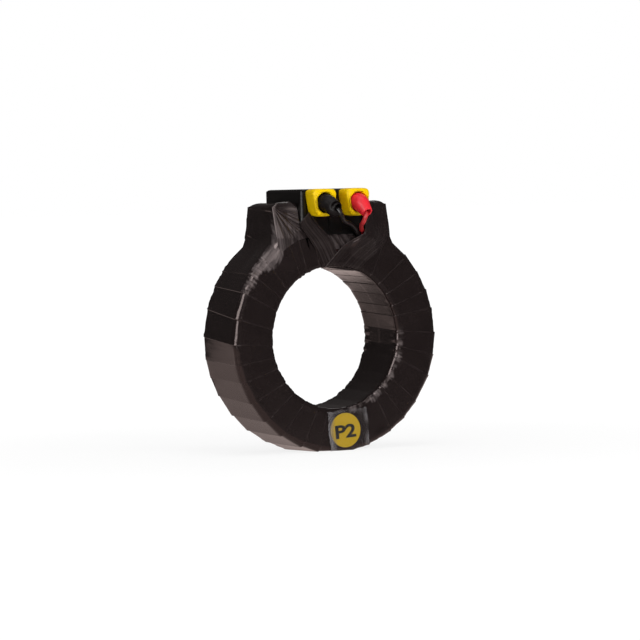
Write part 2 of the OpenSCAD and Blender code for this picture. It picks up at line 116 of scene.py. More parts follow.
def band(a, b, count):
    """Faces between a loop of points that starts at number a and one that starts at b."""
    return [(a + i, b + i, b + j, a + j) for i, j in zip(range(count), [*range(1, count), 0])]


def bend(a, b, c, t):
    """Point at t on a soft bend from a to c, drawn towards b."""
    return (1 - t) ** 2 * a + 2 * t * (1 - t) * b + t * t * c


def settle(piece, material, slot, *stands_for):
    """Gives a finished piece its material, its body and the solid that it stands for."""
    piece.data.materials.clear()
    piece.data.materials.append(material)
    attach(piece, "root")
    if stands_for:
        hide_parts(*stands_for)
    print(piece.name, len(piece.data.polygons), "faces")
    return piece


# %% [markdown]
# ## Camera
# A long lens from a little over two metres keeps the ring's depth lines nearly parallel, as
# product pictures do. The camera stands 30 degrees to the left of the front and almost level
# with the ring, so that the front, the left side and the inside of the window all show.

# %% Camera
camera_at = Vector((-1.1363, -1.9869, 0.0855))
camera_right = Vector((0.8674, -0.4971, -0.0241)).normalized()
camera_up = Vector((0.0374, 0.0167, 0.9992)).normalized()
camera_back = camera_right.cross(camera_up).normalized()
camera_up = camera_back.cross(camera_right).normalized()
lens = bpy.data.cameras.new("camera")
lens.lens = 226.5
lens.sensor_width = 36.0
lens.clip_end = 100.0
camera = bpy.data.objects.new("camera", lens)
turn = np.array([camera_right, camera_up, camera_back]).T
camera.matrix_world = Matrix.Translation(camera_at) @ Matrix(turn.tolist()).to_4x4()
bpy.context.scene.collection.objects.link(camera)
bpy.context.scene.camera = camera
bpy.context.scene.view_settings.view_transform = "Standard"
print("camera", round((camera_at - Vector((0, 0, 0.01))).length, 3), "m away")

# %% [markdown]
# ## Short calls for nodes
# Materials, the world and Geometry Nodes are all graphs of nodes. One call below adds a node
# with its inputs, and short ones on top of it stand for the kinds that come up again and
# again, so that each finish can be read as a few lines.

# %% Short calls that add nodes
def node_tree(owner):
    owner.use_nodes = True
    tree = owner.node_tree
    tree.nodes.clear()
    return tree


def add_node(tree, kind, inputs=None, **settings):
    """Adds a node. An input that is a socket is linked, and any other is set."""
    node = tree.nodes.new(kind)
    for key, value in settings.items():
        setattr(node, key, value)
    for key, value in (inputs or {}).items():
        if isinstance(value, bpy.types.NodeSocket):
            tree.links.new(value, node.inputs[key])
        else:
            node.inputs[key].default_value = value
    return node


def new_material(name):
    material = bpy.data.materials.new(name)
    return material, node_tree(material)


def surface(tree, shader):
    """Ends a material."""
    add_node(tree, "ShaderNodeOutputMaterial", {"Surface": shader})


def sums(tree, operation, a, b, **settings):
    """A sum, product or the like of two values."""
    node = add_node(tree, "ShaderNodeMath", {0: a, 1: b}, operation=operation, **settings)
    return node.outputs[0]


def length(tree, vector):
    node = add_node(tree, "ShaderNodeVectorMath", {0: vector}, operation="LENGTH")
    return node.outputs["Value"]


def span(tree, value, low=0.0, high=1.0, to_low=0.0, to_high=1.0):
    """Carries the range from low to high over to the range from to_low to to_high."""
    ends = {"From Min": low, "From Max": high, "To Min": to_low, "To Max": to_high}
    return add_node(tree, "ShaderNodeMapRange", {"Value": value, **ends}).outputs[0]


def noise(tree, where, scale, detail, **more):
    settings = {"noise_dimensions": "4D"} if "W" in more else {}
    inputs = {"Vector": where, "Scale": scale, "Detail": detail, **more}
    return add_node(tree, "ShaderNodeTexNoise", inputs, **settings).outputs["Fac"]


def stretched(tree, where, scale):
    """A place with its axes scaled."""
    return add_node(tree, "ShaderNodeMapping", {"Vector": where, "Scale": scale}).outputs[0]


def object_place(tree):
    return add_node(tree, "ShaderNodeTexCoord").outputs["Object"]


def blend(tree, share, first, second):
    """Mixes two colours."""
    inputs = {0: share, 6: first, 7: second}
    return add_node(tree, "ShaderNodeMix", inputs, data_type="RGBA").outputs[2]


def either(tree, share, first, second):
    """Mixes two shaders."""
    return add_node(tree, "ShaderNodeMixShader", {0: share, 1: first, 2: second}).outputs[0]


def glow(tree, colour, strength):
    inputs = {"Color": (*colour, 1), "Strength": strength}
    return add_node(tree, "ShaderNodeEmission", inputs).outputs[0]


def relief(tree, height, distance, strength=1.0, **more):
    """A bump whose distance is in millimetres."""
    inputs = {"Height": height, "Strength": strength, "Distance": distance * MM, **more}
    return add_node(tree, "ShaderNodeBump", inputs).outputs[0]


print("node calls ready")

# %% [markdown]
# ## Studio
# Glossy black tape shows little but the room, so the room matters more than the lamps. A tall
# soft panel on the left draws the bright line along the ring's rim. It is two lamps in one
# place, and one of them shows only in reflections. A panel in front lights the front faces, one
# overhead gives the colours their level, and two smaller ones shine on the left shoulder and on
# the rim under it. A dark curtain that only reflections see stands round the set, with dark and
# shaded cards on the floor, so that the flat faces between those panels stay black. The floor
# is white and keeps a soft shadow.

# %% World and floor
ROOM_FILL = 0.18
WARM = (1.0, 0.80, 0.75)
FLOOR_REACH = 20000


def floor_card(name, corners, lift=0.0):
    """A flat piece on the floor, raised by a fraction of a millimetre."""
    return mesh_piece(name, [(x, y, FOOT_Z + lift) for x, y in corners], [(0, 1, 2, 3)], flat=True)


world = bpy.data.worlds.new("studio")
bpy.context.scene.world = world
tree = node_tree(world)
ray = add_node(tree, "ShaderNodeLightPath").outputs
seen = sums(tree, "MAXIMUM", ray["Is Camera Ray"], ray["Is Glossy Ray"])
seen = sums(tree, "MAXIMUM", seen, ray["Is Transmission Ray"])
fill, white = [add_node(tree, "ShaderNodeBackground", {"Color": (1, 1, 1, 1), "Strength": level})
               for level in (ROOM_FILL, 1.0)]
levels = fill.outputs[0], white.outputs[0]
# what rays see directly is white, and the light that fills the room is low
add_node(tree, "ShaderNodeOutputWorld", {"Surface": either(tree, seen, *levels)})

quarters = ((-1, -1), (1, -1), (1, 1), (-1, 1))
floor = floor_card("floor", [(x * FLOOR_REACH, y * FLOOR_REACH) for x, y in quarters])
paper, tree = new_material("floor paper")
ray = add_node(tree, "ShaderNodeLightPath").outputs
away = length(tree, object_place(tree))
camera_share = sums(tree, "MULTIPLY", ray["Is Camera Ray"], span(tree, away, 0.10, 0.50, 0.80, 1.0))
matt = add_node(tree, "ShaderNodeBsdfDiffuse", {"Color": (0.9, 0.9, 0.9, 1)}).outputs[0]
seen_floor = either(tree, camera_share, matt, glow(tree, (1, 1, 1), 1.06))
# reflections see a floor that is a little warm, with a painted shadow that makes it dimmer close
# under the ring
reflected = glow(tree, WARM, span(tree, away, 0.06, 0.13, 0.62, 0.76))
surface(tree, either(tree, ray["Is Glossy Ray"], seen_floor, reflected))
floor.data.materials.append(paper)
print("floor at", round(FOOT_Z, 2), "mm")

# %% Soft panels and the dark curtain
# name, place in metres, width and height, brightness, and the kind of ray that misses it
PANELS = [
    ("left panel", (-1.45, -0.86, 0.60), (0.95, 1.40), 1.0, None),
    ("left shine", (-1.46, -0.865, 0.60), (0.95, 1.40), 6.4, "diffuse"),
    ("front panel", (0.20, -1.75, 0.50), (1.30, 1.00), 4.6, "glossy"),
    ("front shine", (0.10, -1.55, 0.66), (0.75, 0.55), 2.2, "diffuse"),
    ("corner shine", (-0.35, -1.22, 1.13), (0.80, 0.70), 1.5, "diffuse"),
    ("overhead panel", (-0.15, -0.20, 1.55), (1.2, 1.0), 2.3, None),
    ("back panel", (1.2, 1.3, 1.6), (0.8, 0.6), 1.5, None),
]
AIM = Vector((0, 0, 0.01))
for name, place, size, brightness, missed in PANELS:
    # a panel's face shines with the given brightness, where 1 is paper white
    lamp = bpy.data.lights.new(name, "AREA")
    lamp.shape = "RECTANGLE"
    lamp.size, lamp.size_y = size
    lamp.energy = brightness * math.pi * size[0] * size[1]
    panel = bpy.data.objects.new(name, lamp)
    panel.location = place
    panel.rotation_euler = (AIM - Vector(place)).to_track_quat("-Z", "Y").to_euler()
    if missed:
        setattr(panel, "visible_" + missed, False)
    bpy.context.scene.collection.objects.link(panel)

CURTAIN_STEPS, CURTAIN_R, CURTAIN_TOP, CURTAIN_PEAK = 48, 3300, 3000, 3600
circle = [(CURTAIN_R * math.cos(a), CURTAIN_R * math.sin(a)) for a in angles(CURTAIN_STEPS)]
wall = [(x, y, z) for z in (FOOT_Z + 1, CURTAIN_TOP) for x, y in circle] + [(0, 0, CURTAIN_PEAK)]
skirt_faces = band(0, CURTAIN_STEPS, CURTAIN_STEPS)
roof = [(b, c, 2 * CURTAIN_STEPS) for a, b, c, d in skirt_faces]
# the skirt starts farther out behind on the left, so that the ring's left side sees pale floor
starts = [0.20 if x < 0 < y else 0.13 for x, y in circle]
skirt = [(s * x, s * y, FOOT_Z + 0.4) for s, (x, y) in zip(starts, circle)]
skirt += [(x, y, FOOT_Z + 0.4) for x, y in circle]
front_corners = [(-420, -1100), (1000, -1100), (1000, -32), (-30, -32)]
rear_corners = [(-100, 118), (150, 118), (150, 300), (-100, 300)]
flags = [
    mesh_piece("curtain", wall, flipped(skirt_faces) + roof, flat=True),
    mesh_piece("curtain_skirt", skirt, skirt_faces, flat=True),
    floor_card("front_card", front_corners, 0.3),
    floor_card("rear_card", rear_corners, 0.3),
]
cloth, tree = new_material("curtain cloth")
surface(tree, glow(tree, (1.0, 0.90, 0.88), 0.07))
grey, tree = new_material("front card grey")
surface(tree, glow(tree, (1.0, 0.93, 0.91), 0.26))
fade, tree = new_material("rear card fade")
x, y, z = add_node(tree, "ShaderNodeSeparateXYZ", {0: object_place(tree)}).outputs
# a painted shadow of the ring on the floor behind it: the card is dim near the ring and on the
# left, and brightens farther back and to the right
behind = span(tree, y, 0.138, 0.200, 0.14, 1.0)
level = sums(tree, "MULTIPLY", behind, span(tree, x, -0.09, 0.02, 0.25, 1.0))
surface(tree, glow(tree, WARM, level))
for flag, colour in zip(flags, (cloth, cloth, grey, fade)):
    flag.data.materials.append(colour)
    for hidden in ("camera", "diffuse", "transmission", "shadow", "volume_scatter"):
        setattr(flag, "visible_" + hidden, False)
print("soft panels and a curtain")

# %% [markdown]
# ## Finishes
# Each finish is a Principled shader with two noises: a large one that shifts the colour a
# little, and a fine one for the bump and the roughness. Moulded plastic, metal, rubber and
# board differ only in the numbers, so one helper makes them all.

# %% A helper for plain finishes
def tinted(colour, level):
    return (*[min(1, c * level) for c in colour], 1)


def finish(name, colour, rough, grain, bump, depth=0.02, vary=0.15, metal=0.0, specular=0.5,
           stretch=(1, 1, 1)):
    """colour is linear. grain is the fine noise's scale, for each metre, and depth its height."""
    material, tree = new_material(name)
    where = stretched(tree, object_place(tree), stretch)
    large = noise(tree, where, grain / 12, 3.0)
    fine = noise(tree, where, grain, 2.0)
    shader = add_node(tree, "ShaderNodeBsdfPrincipled", {
        "Base Color": blend(tree, large, tinted(colour, 1 - vary), tinted(colour, 1 + vary)),
        "Roughness": span(tree, large, to_low=rough * 0.85, to_high=rough * 1.15),
        "Normal": relief(tree, fine, depth, bump),
        "Metallic": metal, "Specular IOR Level": specular})
    surface(tree, shader.outputs[0])
    return material


# name, colour, roughness, grain, bump, its depth, and how much the colour varies
moulding = finish("black moulding", (0.0012, 0.0007, 0.0006), 0.34, 2600, 0.5, 0.05, specular=0.42)
yellow_plastic = finish("yellow plastic", (0.97, 0.63, 0.001), 0.34, 260, 0.5, 0.25, 0.03,
                        specular=0.12)
black_rubber = finish("black boot vinyl", (0.0085, 0.0062, 0.0062), 0.46, 900, 0.4, 0.06, 0.12,
                      specular=0.14)
red_rubber = finish("red boot vinyl", (0.84, 0.024, 0.038), 0.36, 900, 0.4, 0.06, 0.10,
                    specular=0.25)
black_wire = finish("black lead sleeve", (0.007, 0.0052, 0.0052), 0.36, 900, 0.3, 0.04)
red_wire = finish("red lead sleeve", (0.50, 0.022, 0.026), 0.32, 900, 0.3, 0.04, 0.1)
grommet_rubber = finish("grommet rubber", (0.016, 0.015, 0.015), 0.6, 1800, 0.5, 0.04)
brass = finish("turned brass", (0.62, 0.40, 0.13), 0.25, 700, 0.4, metal=1.0, stretch=(1, 9, 1))
plated = finish("zinc plated steel", (0.62, 0.62, 0.63), 0.28, 900, 0.5, metal=1.0)
core_steel = finish("silicon steel strip", (0.34, 0.34, 0.36), 0.38, 400, 0.5, metal=1.0,
                    stretch=(6, 1, 6))
board = finish("pressboard", (0.42, 0.26, 0.11), 0.8, 1800, 0.7, 0.05, 0.2)
copper = finish("enamelled copper", (0.62, 0.19, 0.06), 0.3, 500, 0.8, 0.2, metal=0.8,
                stretch=(1, 1, 5))
cotton = finish("white winding tape", (0.72, 0.70, 0.64), 0.75, 2500, 0.8, 0.05, 0.06)
label_paper = finish("yellow label", (0.47, 0.30, 0.002), 0.38, 700, 0.2, 0.03, 0.06)
ink = finish("dark print", (0.010, 0.010, 0.012), 0.4, 900, 0.1)
print("finishes ready")

# %% [markdown]
# ## Glossy tape
# PVC tape is pulled tight as it is wound, so its surface is smooth along the tape and shows
# fine streaks in the direction of the pull. The piece carries a UV map called `tape`, whose V
# runs along the tape and whose U runs across it, and the streaks are noise stretched along V.

# %% Tape finish
def tape_finish(name, colour, rough, streak, wrinkle):
    """streak and wrinkle are the heights of the two reliefs in millimetres."""
    material, tree = new_material(name)
    wound = add_node(tree, "ShaderNodeUVMap", uv_map="tape").outputs[0]
    streaks = noise(tree, stretched(tree, wound, (9.0, 0.5, 1)), 1.0, 3.0, Distortion=0.3)
    creases = noise(tree, stretched(tree, wound, (2.2, 0.35, 1)), 1.0, 2.0, Distortion=0.6)
    cloud = noise(tree, object_place(tree), 60.0, 3.0)
    shade = blend(tree, cloud, tinted(colour, 0.75), tinted(colour, 1.25))
    # painted highlights: a pale grey mixed into the colour in ragged streaks, as much as the
    # piece's attribute for them says
    painted_highlight = add_node(tree, "ShaderNodeAttribute", attribute_name="painted_highlight").outputs["Fac"]
    patchy = span(tree, streaks, 0.30, 0.70, -0.42, 0.42)
    ragged = sums(tree, "MULTIPLY", patchy, span(tree, painted_highlight, high=0.45))
    painted_highlight_level = sums(tree, "ADD", painted_highlight, ragged, use_clamp=True)
    shader = add_node(tree, "ShaderNodeBsdfPrincipled", {
        "Base Color": blend(tree, painted_highlight_level, shade, (0.125, 0.103, 0.102, 1)),
        "Roughness": span(tree, cloud, to_low=rough * 0.8, to_high=rough * 1.25),
        "Normal": relief(tree, streaks, streak, Normal=relief(tree, creases, wrinkle)),
        "IOR": 1.45, "Specular Tint": (1.0, 0.82, 0.79, 1)})
    surface(tree, shader.outputs[0])
    return material


tape_black = tape_finish("glossy black tape", (0.0128, 0.0090, 0.0089), 0.17, 0.012, 0.045)
print("tape finish ready")

# %% [markdown]
# ## The wound tape
# The tape goes round the ring's section again and again, each turn lapping over the last, and
# after some thirty turns it is back where it began. So the whole wrap is one long ribbon on a
# helix: across the ribbon the surface drops from its free edge to the place where the next
# turn lies on it. A grid follows that ribbon. Each turn is pulled straight between its edges,
# which is why the outline has small flats with a step at each end. The spacing of the turns
# varies, as it does by hand, from a fixed seed.

# %% The ring's outline, with its shoulders
# the flats between the turns' edges stay near the ring's own radius when this is a little larger
TAPED_R = RING_R + 0.45
FLARE_WAY = np.array([0.692, 0.722])
FLARE_ANGLE = math.degrees(math.atan2(*FLARE_WAY))
SHOULDER_FOOT = 57


def outline():
    """Right half of the taped outline in X and Z, from the top to where it meets the ring."""
    half = [(22.4 * t, 63.2) for t in np.linspace(0, 1, 60)]
    half.append((22.5, 76.2))
    half += [(22.6 + 11.0 * t, 76.4 + 0.5 * math.sin(math.pi * t)) for t in np.linspace(0, 1, 30)]
    half += [(36.0, 75.6), (37.0, 74.4)]
    for t in np.linspace(0, 1, 30):
        half.append((37.0 + 0.2 * t + 0.4 * math.sin(math.pi * t), 74.4 - 17.0 * t))
    a, b, c = np.array([37.2, 57.4]), np.array([38.4, 51.6]), TAPED_R * FLARE_WAY
    half += [bend(a, b, c, t) for t in np.linspace(0, 1, 40)[1:]]
    return np.array(half)


HALF = outline()
SHARE = np.concatenate([[0], np.cumsum(np.linalg.norm(np.diff(HALF, axis=0), axis=1))])
# how the turns share the outline out: degrees from the top against length along it
KNOTS_DEG = [0, 17, 18.5, 30, 36, 42, FLARE_ANGLE]
KNOTS_LEN = [0, 22.4, 35.4, SHARE[92], SHARE[110], SHARE[128], SHARE[-1]]


def from_top(theta):
    """Turns a direction, in degrees from +X towards +Z, into degrees from the top."""
    return (theta - 90 + 180) % 360 - 180


def outer_point(theta):
    """Point of the outline in a direction."""
    away = from_top(np.asarray(theta, float))
    size = np.abs(away)
    length = np.interp(size, KNOTS_DEG, KNOTS_LEN)
    on_ring = size > FLARE_ANGLE
    reach = TAPED_R - 0.9 * smoothstep(100, 135, size) * smoothstep(178, 160, size)
    x = np.where(on_ring, reach * np.sin(np.radians(size)), np.interp(length, SHARE, HALF[:, 0]))
    z = np.where(on_ring, reach * np.cos(np.radians(size)), np.interp(length, SHARE, HALF[:, 1]))
    return np.where(away > 0, -x, x), z


def outer_rim_radius(theta, side):
    """The tape stands off the outer rim under the shoulder that is on the left from either end."""
    away = from_top(theta)
    if away * side > 0:
        return RIM_R
    away = abs(away)
    return RIM_R + 0.4 + 3.0 * ramp(24, 36, away) * ramp(66, 38, away)


def shoulder_lean(x, z):
    """How far a shoulder's face leans back, towards its top and its side."""
    return 0.24 * np.maximum(0, z - SHOULDER_FOOT) + 0.05 * np.maximum(0, np.abs(x) - 25)


def half_depth(x, z):
    """How far the front or rear face stands from the ring's middle plane."""
    size = np.abs(x)
    depth = RING_HALF - shoulder_lean(x, z) * smoothstep(20, 23, size) * smoothstep(44, 52, z)
    depth -= 1.4 * smoothstep(12.5, 10.0, size) * smoothstep(48, 52, z)
    # the box's apron takes the face's place between the shoulders
    under_apron = smoothstep(57.6, 58.2, z) * smoothstep(18.2, 17.4, size)
    return depth * (1 - under_apron) + 16.3 * under_apron


print("outline", round(SHARE[-1], 1), "mm from the top to the ring")

# %% Columns round the section
# kind of surface, number of columns, its first and last share, and -1 for the front, 1 for the rear
WAY_ROUND = [
    ("bore", 11, 0.5, 1.0, -1), ("inner rim", 7, 0, 1, -1), ("face", 29, 0, 1, -1),
    ("outer rim", 7, 0, 1, -1), ("outside", 22, 0, 1, 0), ("outer rim", 7, 1, 0, 1),
    ("face", 29, 1, 0, 1), ("inner rim", 7, 1, 0, 1), ("bore", 12, 0, 0.5, 1),
]
COLUMNS = [(kind, t, side) for kind, count, start, end, side in WAY_ROUND
           for t in np.linspace(start, end, count, endpoint=False)]
N_COL = len(COLUMNS)


def bore_slack(theta):
    """The bore's tape is built up a little less at the upper left than at the lower right."""
    return 0.35 - 0.55 * math.cos(math.radians(theta + 35))


def section_point(theta, column, lift):
    """Point on the wrap in direction theta, lifted off the surface by lift."""
    kind, t, side = COLUMNS[column]
    c, s = math.cos(math.radians(theta)), math.sin(math.radians(theta))
    a = math.radians(90 * t)
    if kind == "bore":
        # t runs from 0 at the rear to 1 at the front
        r = WINDOW_R + bore_slack(theta) - lift
        return (r * c, (RING_HALF - RIM_R) * (1 - 2 * t), r * s)
    if kind == "inner rim":
        r = WINDOW_R + RIM_R - (RIM_R - bore_slack(theta) + lift) * math.cos(a)
        return (r * c, side * (RING_HALF - RIM_R + (RIM_R + lift) * math.sin(a)), r * s)
    edge = np.array(outer_point(theta))
    inner = (WINDOW_R + RIM_R) * np.array([c, s])
    way = (edge - inner) / np.linalg.norm(edge - inner)
    bend_r = outer_rim_radius(theta, side)
    outer = edge - way * bend_r
    if kind == "face":
        p = inner + (outer - inner) * t
        return (p[0], side * (half_depth(*p) + lift), p[1])
    rim_half = half_depth(*outer)
    if kind == "outer rim":
        p = outer + way * (bend_r + lift) * math.sin(a)
        y = side * (rim_half - bend_r + (bend_r + lift) * math.cos(a))
        return (p[0], y, max(p[1], FOOT_Z))
    p = edge + edge / math.hypot(*edge) * lift
    front, rear = rim_half - outer_rim_radius(theta, -1), rim_half - outer_rim_radius(theta, 1)
    return (p[0], -front + (front + rear) * t, max(p[1], FOOT_Z))


print(N_COL, "columns round the section")

# %% Where the turns lie
TURNS = 32
wobble = rng.uniform(-1, 1, TURNS)
height = rng.uniform(0.35, 1.0, TURNS)
streaks = rng.uniform(0, 1, 97)


def wave(values, at):
    """A smooth wave through the values, which repeat."""
    k, count = math.floor(at), len(values)
    t = at - k
    t = t * t * (3 - 2 * t)
    return float(values[k % count] * (1 - t) + values[(k + 1) % count] * t)


def streak(place):
    """An irregular wave from 0 to 1, the same on every run."""
    return wave(streaks, place)


def edge_angle(at):
    """Direction of the tape's free edge after a number of turns, in degrees."""
    return 194.4 - 360 * at / TURNS + 3.1 * wave(wobble, at)


def step_height(kind, t, theta, at):
    """How far the free edge stands above the turn that it lies on."""
    share = {"outside": 0.95, "outer rim": 0.95 * ramp(0.35, 1.0, t), "face": 0.0,
             "inner rim": 0.42 * ramp(1.0, 0.2, t), "bore": 0.42}[kind]
    calm = 0.45 + 0.55 * ramp(34, 48, abs(from_top(theta)))
    if kind == "outside":
        # one turn on the left lies flat, and so faces the floor
        calm *= 1 - 0.85 * ramp(188, 191, theta) * ramp(200, 197, theta)
    return wave(height, at) * share * calm


def rim_painted_highlight(kind, t, side, away):
    """How much painted highlight the tape gets on the rim under the left shoulder and on the
    window's rim.
    """
    size = abs(away)
    if kind in ("outer rim", "face") and away * side < 0:
        # from the face's edge at 0 to the far edge of the rim at 1
        reach = t if kind == "outer rim" else 4 * (t - 1)
        band = ramp(33, 38, size) * ramp(74, 48, size)
        ragged = 0.7 * (streak(1.9 * size) - 0.5)
        start = -0.85 * ramp(54, 40, size)
        inner = ramp(start, start + 0.25, reach + ragged)
        return 0.80 * band * inner * ramp(0.95, 0.8, reach + 0.8 * ragged)
    if kind in ("inner rim", "face") and away * side > 0:
        reach = t if kind == "inner rim" else 1 + 5 * t
        reach += 0.5 * (streak(1.1 * size + 30) - 0.5)
        band = ramp(80, 95, size) * ramp(178, 165, size) * ramp(0.35, 0.8, streak(0.33 * size + 11))
        return 0.75 * band * ramp(0.35, 0.55, reach) * ramp(1.25, 1.0, reach)
    return 0.0


def rim_weight(kind, t, away):
    """Where the tape gathers in pleats: at the rims, and less and less away from them."""
    gather = 0.45 + 1.1 * ramp(28, 40, away) * ramp(95, 70, away)
    inward = min(t, 1 - t)
    return {"outer rim": gather, "inner rim": 0.9,
            "face": max(0, 1 - 7 * inward) * (gather if t > 0.5 else 0.7),
            "outside": max(0, gather * (1 - 5 * inward)), "bore": max(0.02, 1 - 6 * inward)}[kind]


print(TURNS, "turns, edges", round(edge_angle(0) - edge_angle(1), 1), "degrees apart at first")

# %% Build the wrap's grid
# the rows across the tape are closest along its two edges, which keeps those edges crisp
ACROSS = [0, 0.012, 0.04, 0.10, 0.19, 0.30, 0.42, 0.54, 0.66, 0.78, 0.89, 0.97, 1]
ROWS = len(ACROSS)
# length along the tape from one column to the next
COLUMN_STEP = {"bore": 33 / 23, "inner rim": 4.7 / 7, "face": 19 / 29, "outer rim": 4.7 / 7,
               "outside": 33 / 22}
run = np.concatenate([[0], np.cumsum([COLUMN_STEP[kind] for kind, t, side in COLUMNS])])
total_run = run[-1]
count = TURNS * N_COL
points, uv_grid = np.zeros((count, ROWS, 3)), np.zeros((count, ROWS, 2))
rim_share, painted_highlight_share = np.zeros((count, ROWS)), np.zeros((count, ROWS))
for m in range(count):
    turn_no, j = divmod(m, N_COL)
    kind, t, side = COLUMNS[j]
    at = turn_no + run[j] / total_run
    start_deg, end_deg = edge_angle(at), edge_angle(at + 1)
    lift = step_height(kind, t, start_deg, at)
    p0 = np.array(section_point(start_deg, j, lift))
    p1 = np.array(section_point(end_deg, j, 0.0))
    away = abs(from_top((start_deg + end_deg) / 2))
    rim_share[m] = rim_weight(kind, t, away)
    # between the shoulders the tape follows the surface, instead of being pulled straight
    follow = 1 - ramp(46, 52, away)
    for i, f in enumerate(ACROSS):
        theta = start_deg * (1 - f) + end_deg * f
        place = p0 * (1 - f) + p1 * f
        if follow > 0:
            curved = np.array(section_point(theta, j, lift * (1 - f)))
            place = place * (1 - follow) + curved * follow
        points[m, i] = place
        uv_grid[m, i] = (f * 1.25 + turn_no * 3.7, (turn_no * total_run + run[j]) / 10)
        # painted highlight on the rim under the left shoulder and on the window's rim
        painted_highlight_level = rim_painted_highlight(kind, t, side, from_top(theta))
        if kind in ("face", "bore"):
            # a faint painted highlight along the free edge
            edge_painted_highlight = 0.07 * ramp(0.10, 0.02, f) * (0.2 + streak(0.37 * at + 9 * t))
            painted_highlight_level = max(painted_highlight_level, edge_painted_highlight)
        painted_highlight_share[m, i] = painted_highlight_level

index = np.arange(count * ROWS).reshape(count, ROWS)
faces, uvs = [], []
for m in range(count):
    n = (m + 1) % count
    over = uv_grid[n].copy()
    if n == 0:
        over[:, 1] += TURNS * total_run / 10
    for i in range(ROWS - 1):
        faces.append((index[m, i], index[m, i + 1], index[n, i + 1], index[n, i]))
        uvs += [uv_grid[m, i], uv_grid[m, i + 1], over[i + 1], over[i]]
    # the step up to the next turn's free edge
    up, up_next = (m + N_COL) % count, (n + N_COL) % count
    faces.append((index[m, -1], index[up, 0], index[up_next, 0], index[n, -1]))
    uvs += [uv_grid[m, -1], uv_grid[m, -1], over[-1], over[-1]]
tape_wound = mesh_piece("tape_wound", points.reshape(-1, 3), faces, uvs)
set_weight(tape_wound, "rim", rim_share.ravel())
set_weight(tape_wound, "painted_highlight", painted_highlight_share.ravel())
print("wrap:", len(faces), "faces")

# %% [markdown]
# Stretched tape can't lie flat where it turns over a rim, so it gathers in small pleats that
# fan out across the rim. Geometry Nodes push each point along its normal by a noise that is
# short along the rim and long across it. Its strength follows an attribute that is 1 at the
# rims and fades on the flat faces. The inputs are named, and the noise's W is the fixed seed.

# %% Pleats, with Geometry Nodes
def new_tree(name, *inputs):
    """Starts a tree. Each input is a name, a kind of socket and a first value."""
    tree = bpy.data.node_groups.new(name, "GeometryNodeTree")
    face = tree.interface
    sockets = [("Geometry", "Geometry", None), *inputs, ("Material", "Material", None)]
    for label, kind, value in sockets:
        socket = face.new_socket(label, in_out="INPUT", socket_type="NodeSocket" + kind)
        if value is not None:
            socket.default_value = value
    face.new_socket("Geometry", in_out="OUTPUT", socket_type="NodeSocketGeometry")
    return tree, add_node(tree, "NodeGroupInput").outputs


def end_tree(tree, given, geometry):
    """Makes all instances real and sets the material, as the last steps of every tree."""
    real = add_node(tree, "GeometryNodeRealizeInstances", {0: geometry}).outputs[0]
    inputs = {"Geometry": real, "Material": given["Material"]}
    dressed = add_node(tree, "GeometryNodeSetMaterial", inputs)
    add_node(tree, "NodeGroupOutput", {0: dressed.outputs[0]})


def pleat_tree():
    tree, given = new_tree("pleats", ("Pleat height", "Float", 0.0),
                           ("Pleats per metre", "Float", 400.0), ("Seed", "Float", 3.0))
    where = add_node(tree, "GeometryNodeInputPosition").outputs[0]
    x, y, z = add_node(tree, "ShaderNodeSeparateXYZ", {0: where}).outputs
    # the noise's axes: the angle round the window, the distance from its axis, and the depth
    flat = add_node(tree, "ShaderNodeCombineXYZ", {"X": x, "Y": 0.0, "Z": z}).outputs[0]
    spread = add_node(tree, "ShaderNodeCombineXYZ", {
        "X": sums(tree, "MULTIPLY", sums(tree, "ARCTAN2", z, x), 0.055),
        "Y": sums(tree, "MULTIPLY", length(tree, flat), 0.14),
        "Z": sums(tree, "MULTIPLY", y, 0.14)}).outputs[0]
    fine = noise(tree, spread, given["Pleats per metre"], 2.0, W=given["Seed"])
    patch = noise(tree, spread, 55.0, 1.0, W=given["Seed"])
    rim = add_node(tree, "GeometryNodeInputNamedAttribute", {"Name": "rim"}, data_type="FLOAT")
    push = sums(tree, "SUBTRACT", fine, 0.5)
    for share in (rim.outputs[0], span(tree, patch, 0.42, 0.66, 0.15, 1.0), given["Pleat height"]):
        push = sums(tree, "MULTIPLY", push, share)
    normal = add_node(tree, "GeometryNodeInputNormal").outputs[0]
    offset = add_node(tree, "ShaderNodeVectorMath", {0: normal, "Scale": push}, operation="SCALE")
    inputs = {"Geometry": given["Geometry"], "Offset": offset.outputs[0]}
    end_tree(tree, given, add_node(tree, "GeometryNodeSetPosition", inputs).outputs[0])
    return tree


def grow(piece, tree, **values):
    """Runs a Geometry Nodes tree on a piece and keeps the result as its plain mesh."""
    modifier = piece.modifiers.new("grow", "NODES")
    modifier.node_group = tree
    for item in tree.interface.items_tree:
        if item.in_out == "INPUT" and item.name in values:
            modifier[item.identifier] = values[item.name]
    bpy.context.view_layer.update()
    shape = piece.evaluated_get(bpy.context.evaluated_depsgraph_get())
    made = bpy.data.meshes.new_from_object(shape)
    piece.modifiers.remove(modifier)
    piece.data = made
    made.name = piece.name


pleats = {"Pleat height": 3.0 * MM, "Pleats per metre": 420.0, "Seed": 3.0, "Material": tape_black}
grow(tape_wound, pleat_tree(), **pleats)
# the pleats may not reach under the foot
places = np.empty(3 * len(tape_wound.data.vertices))
tape_wound.data.vertices.foreach_get("co", places)
places[2::3] = np.maximum(places[2::3], FOOT_Z * MM)
tape_wound.data.vertices.foreach_set("co", places)
tape_wound.data.update()
settle(tape_wound, tape_black, "tape", "tape_wrap")

# %% [markdown]
# ## Tape round the terminal box
# The last turn of the left-hand run crosses the box's foot and goes down to the window, and
# the first turn of the right-hand run laps over it. Between them a V stays open, and the two
# leads go under the right-hand turn, which tents over them. Each turn here is a thin closed
# sheet, drawn as a grid between its left and right edges and laid on what is under it.

# %% A thin closed sheet
SHEET_THICK = 0.5


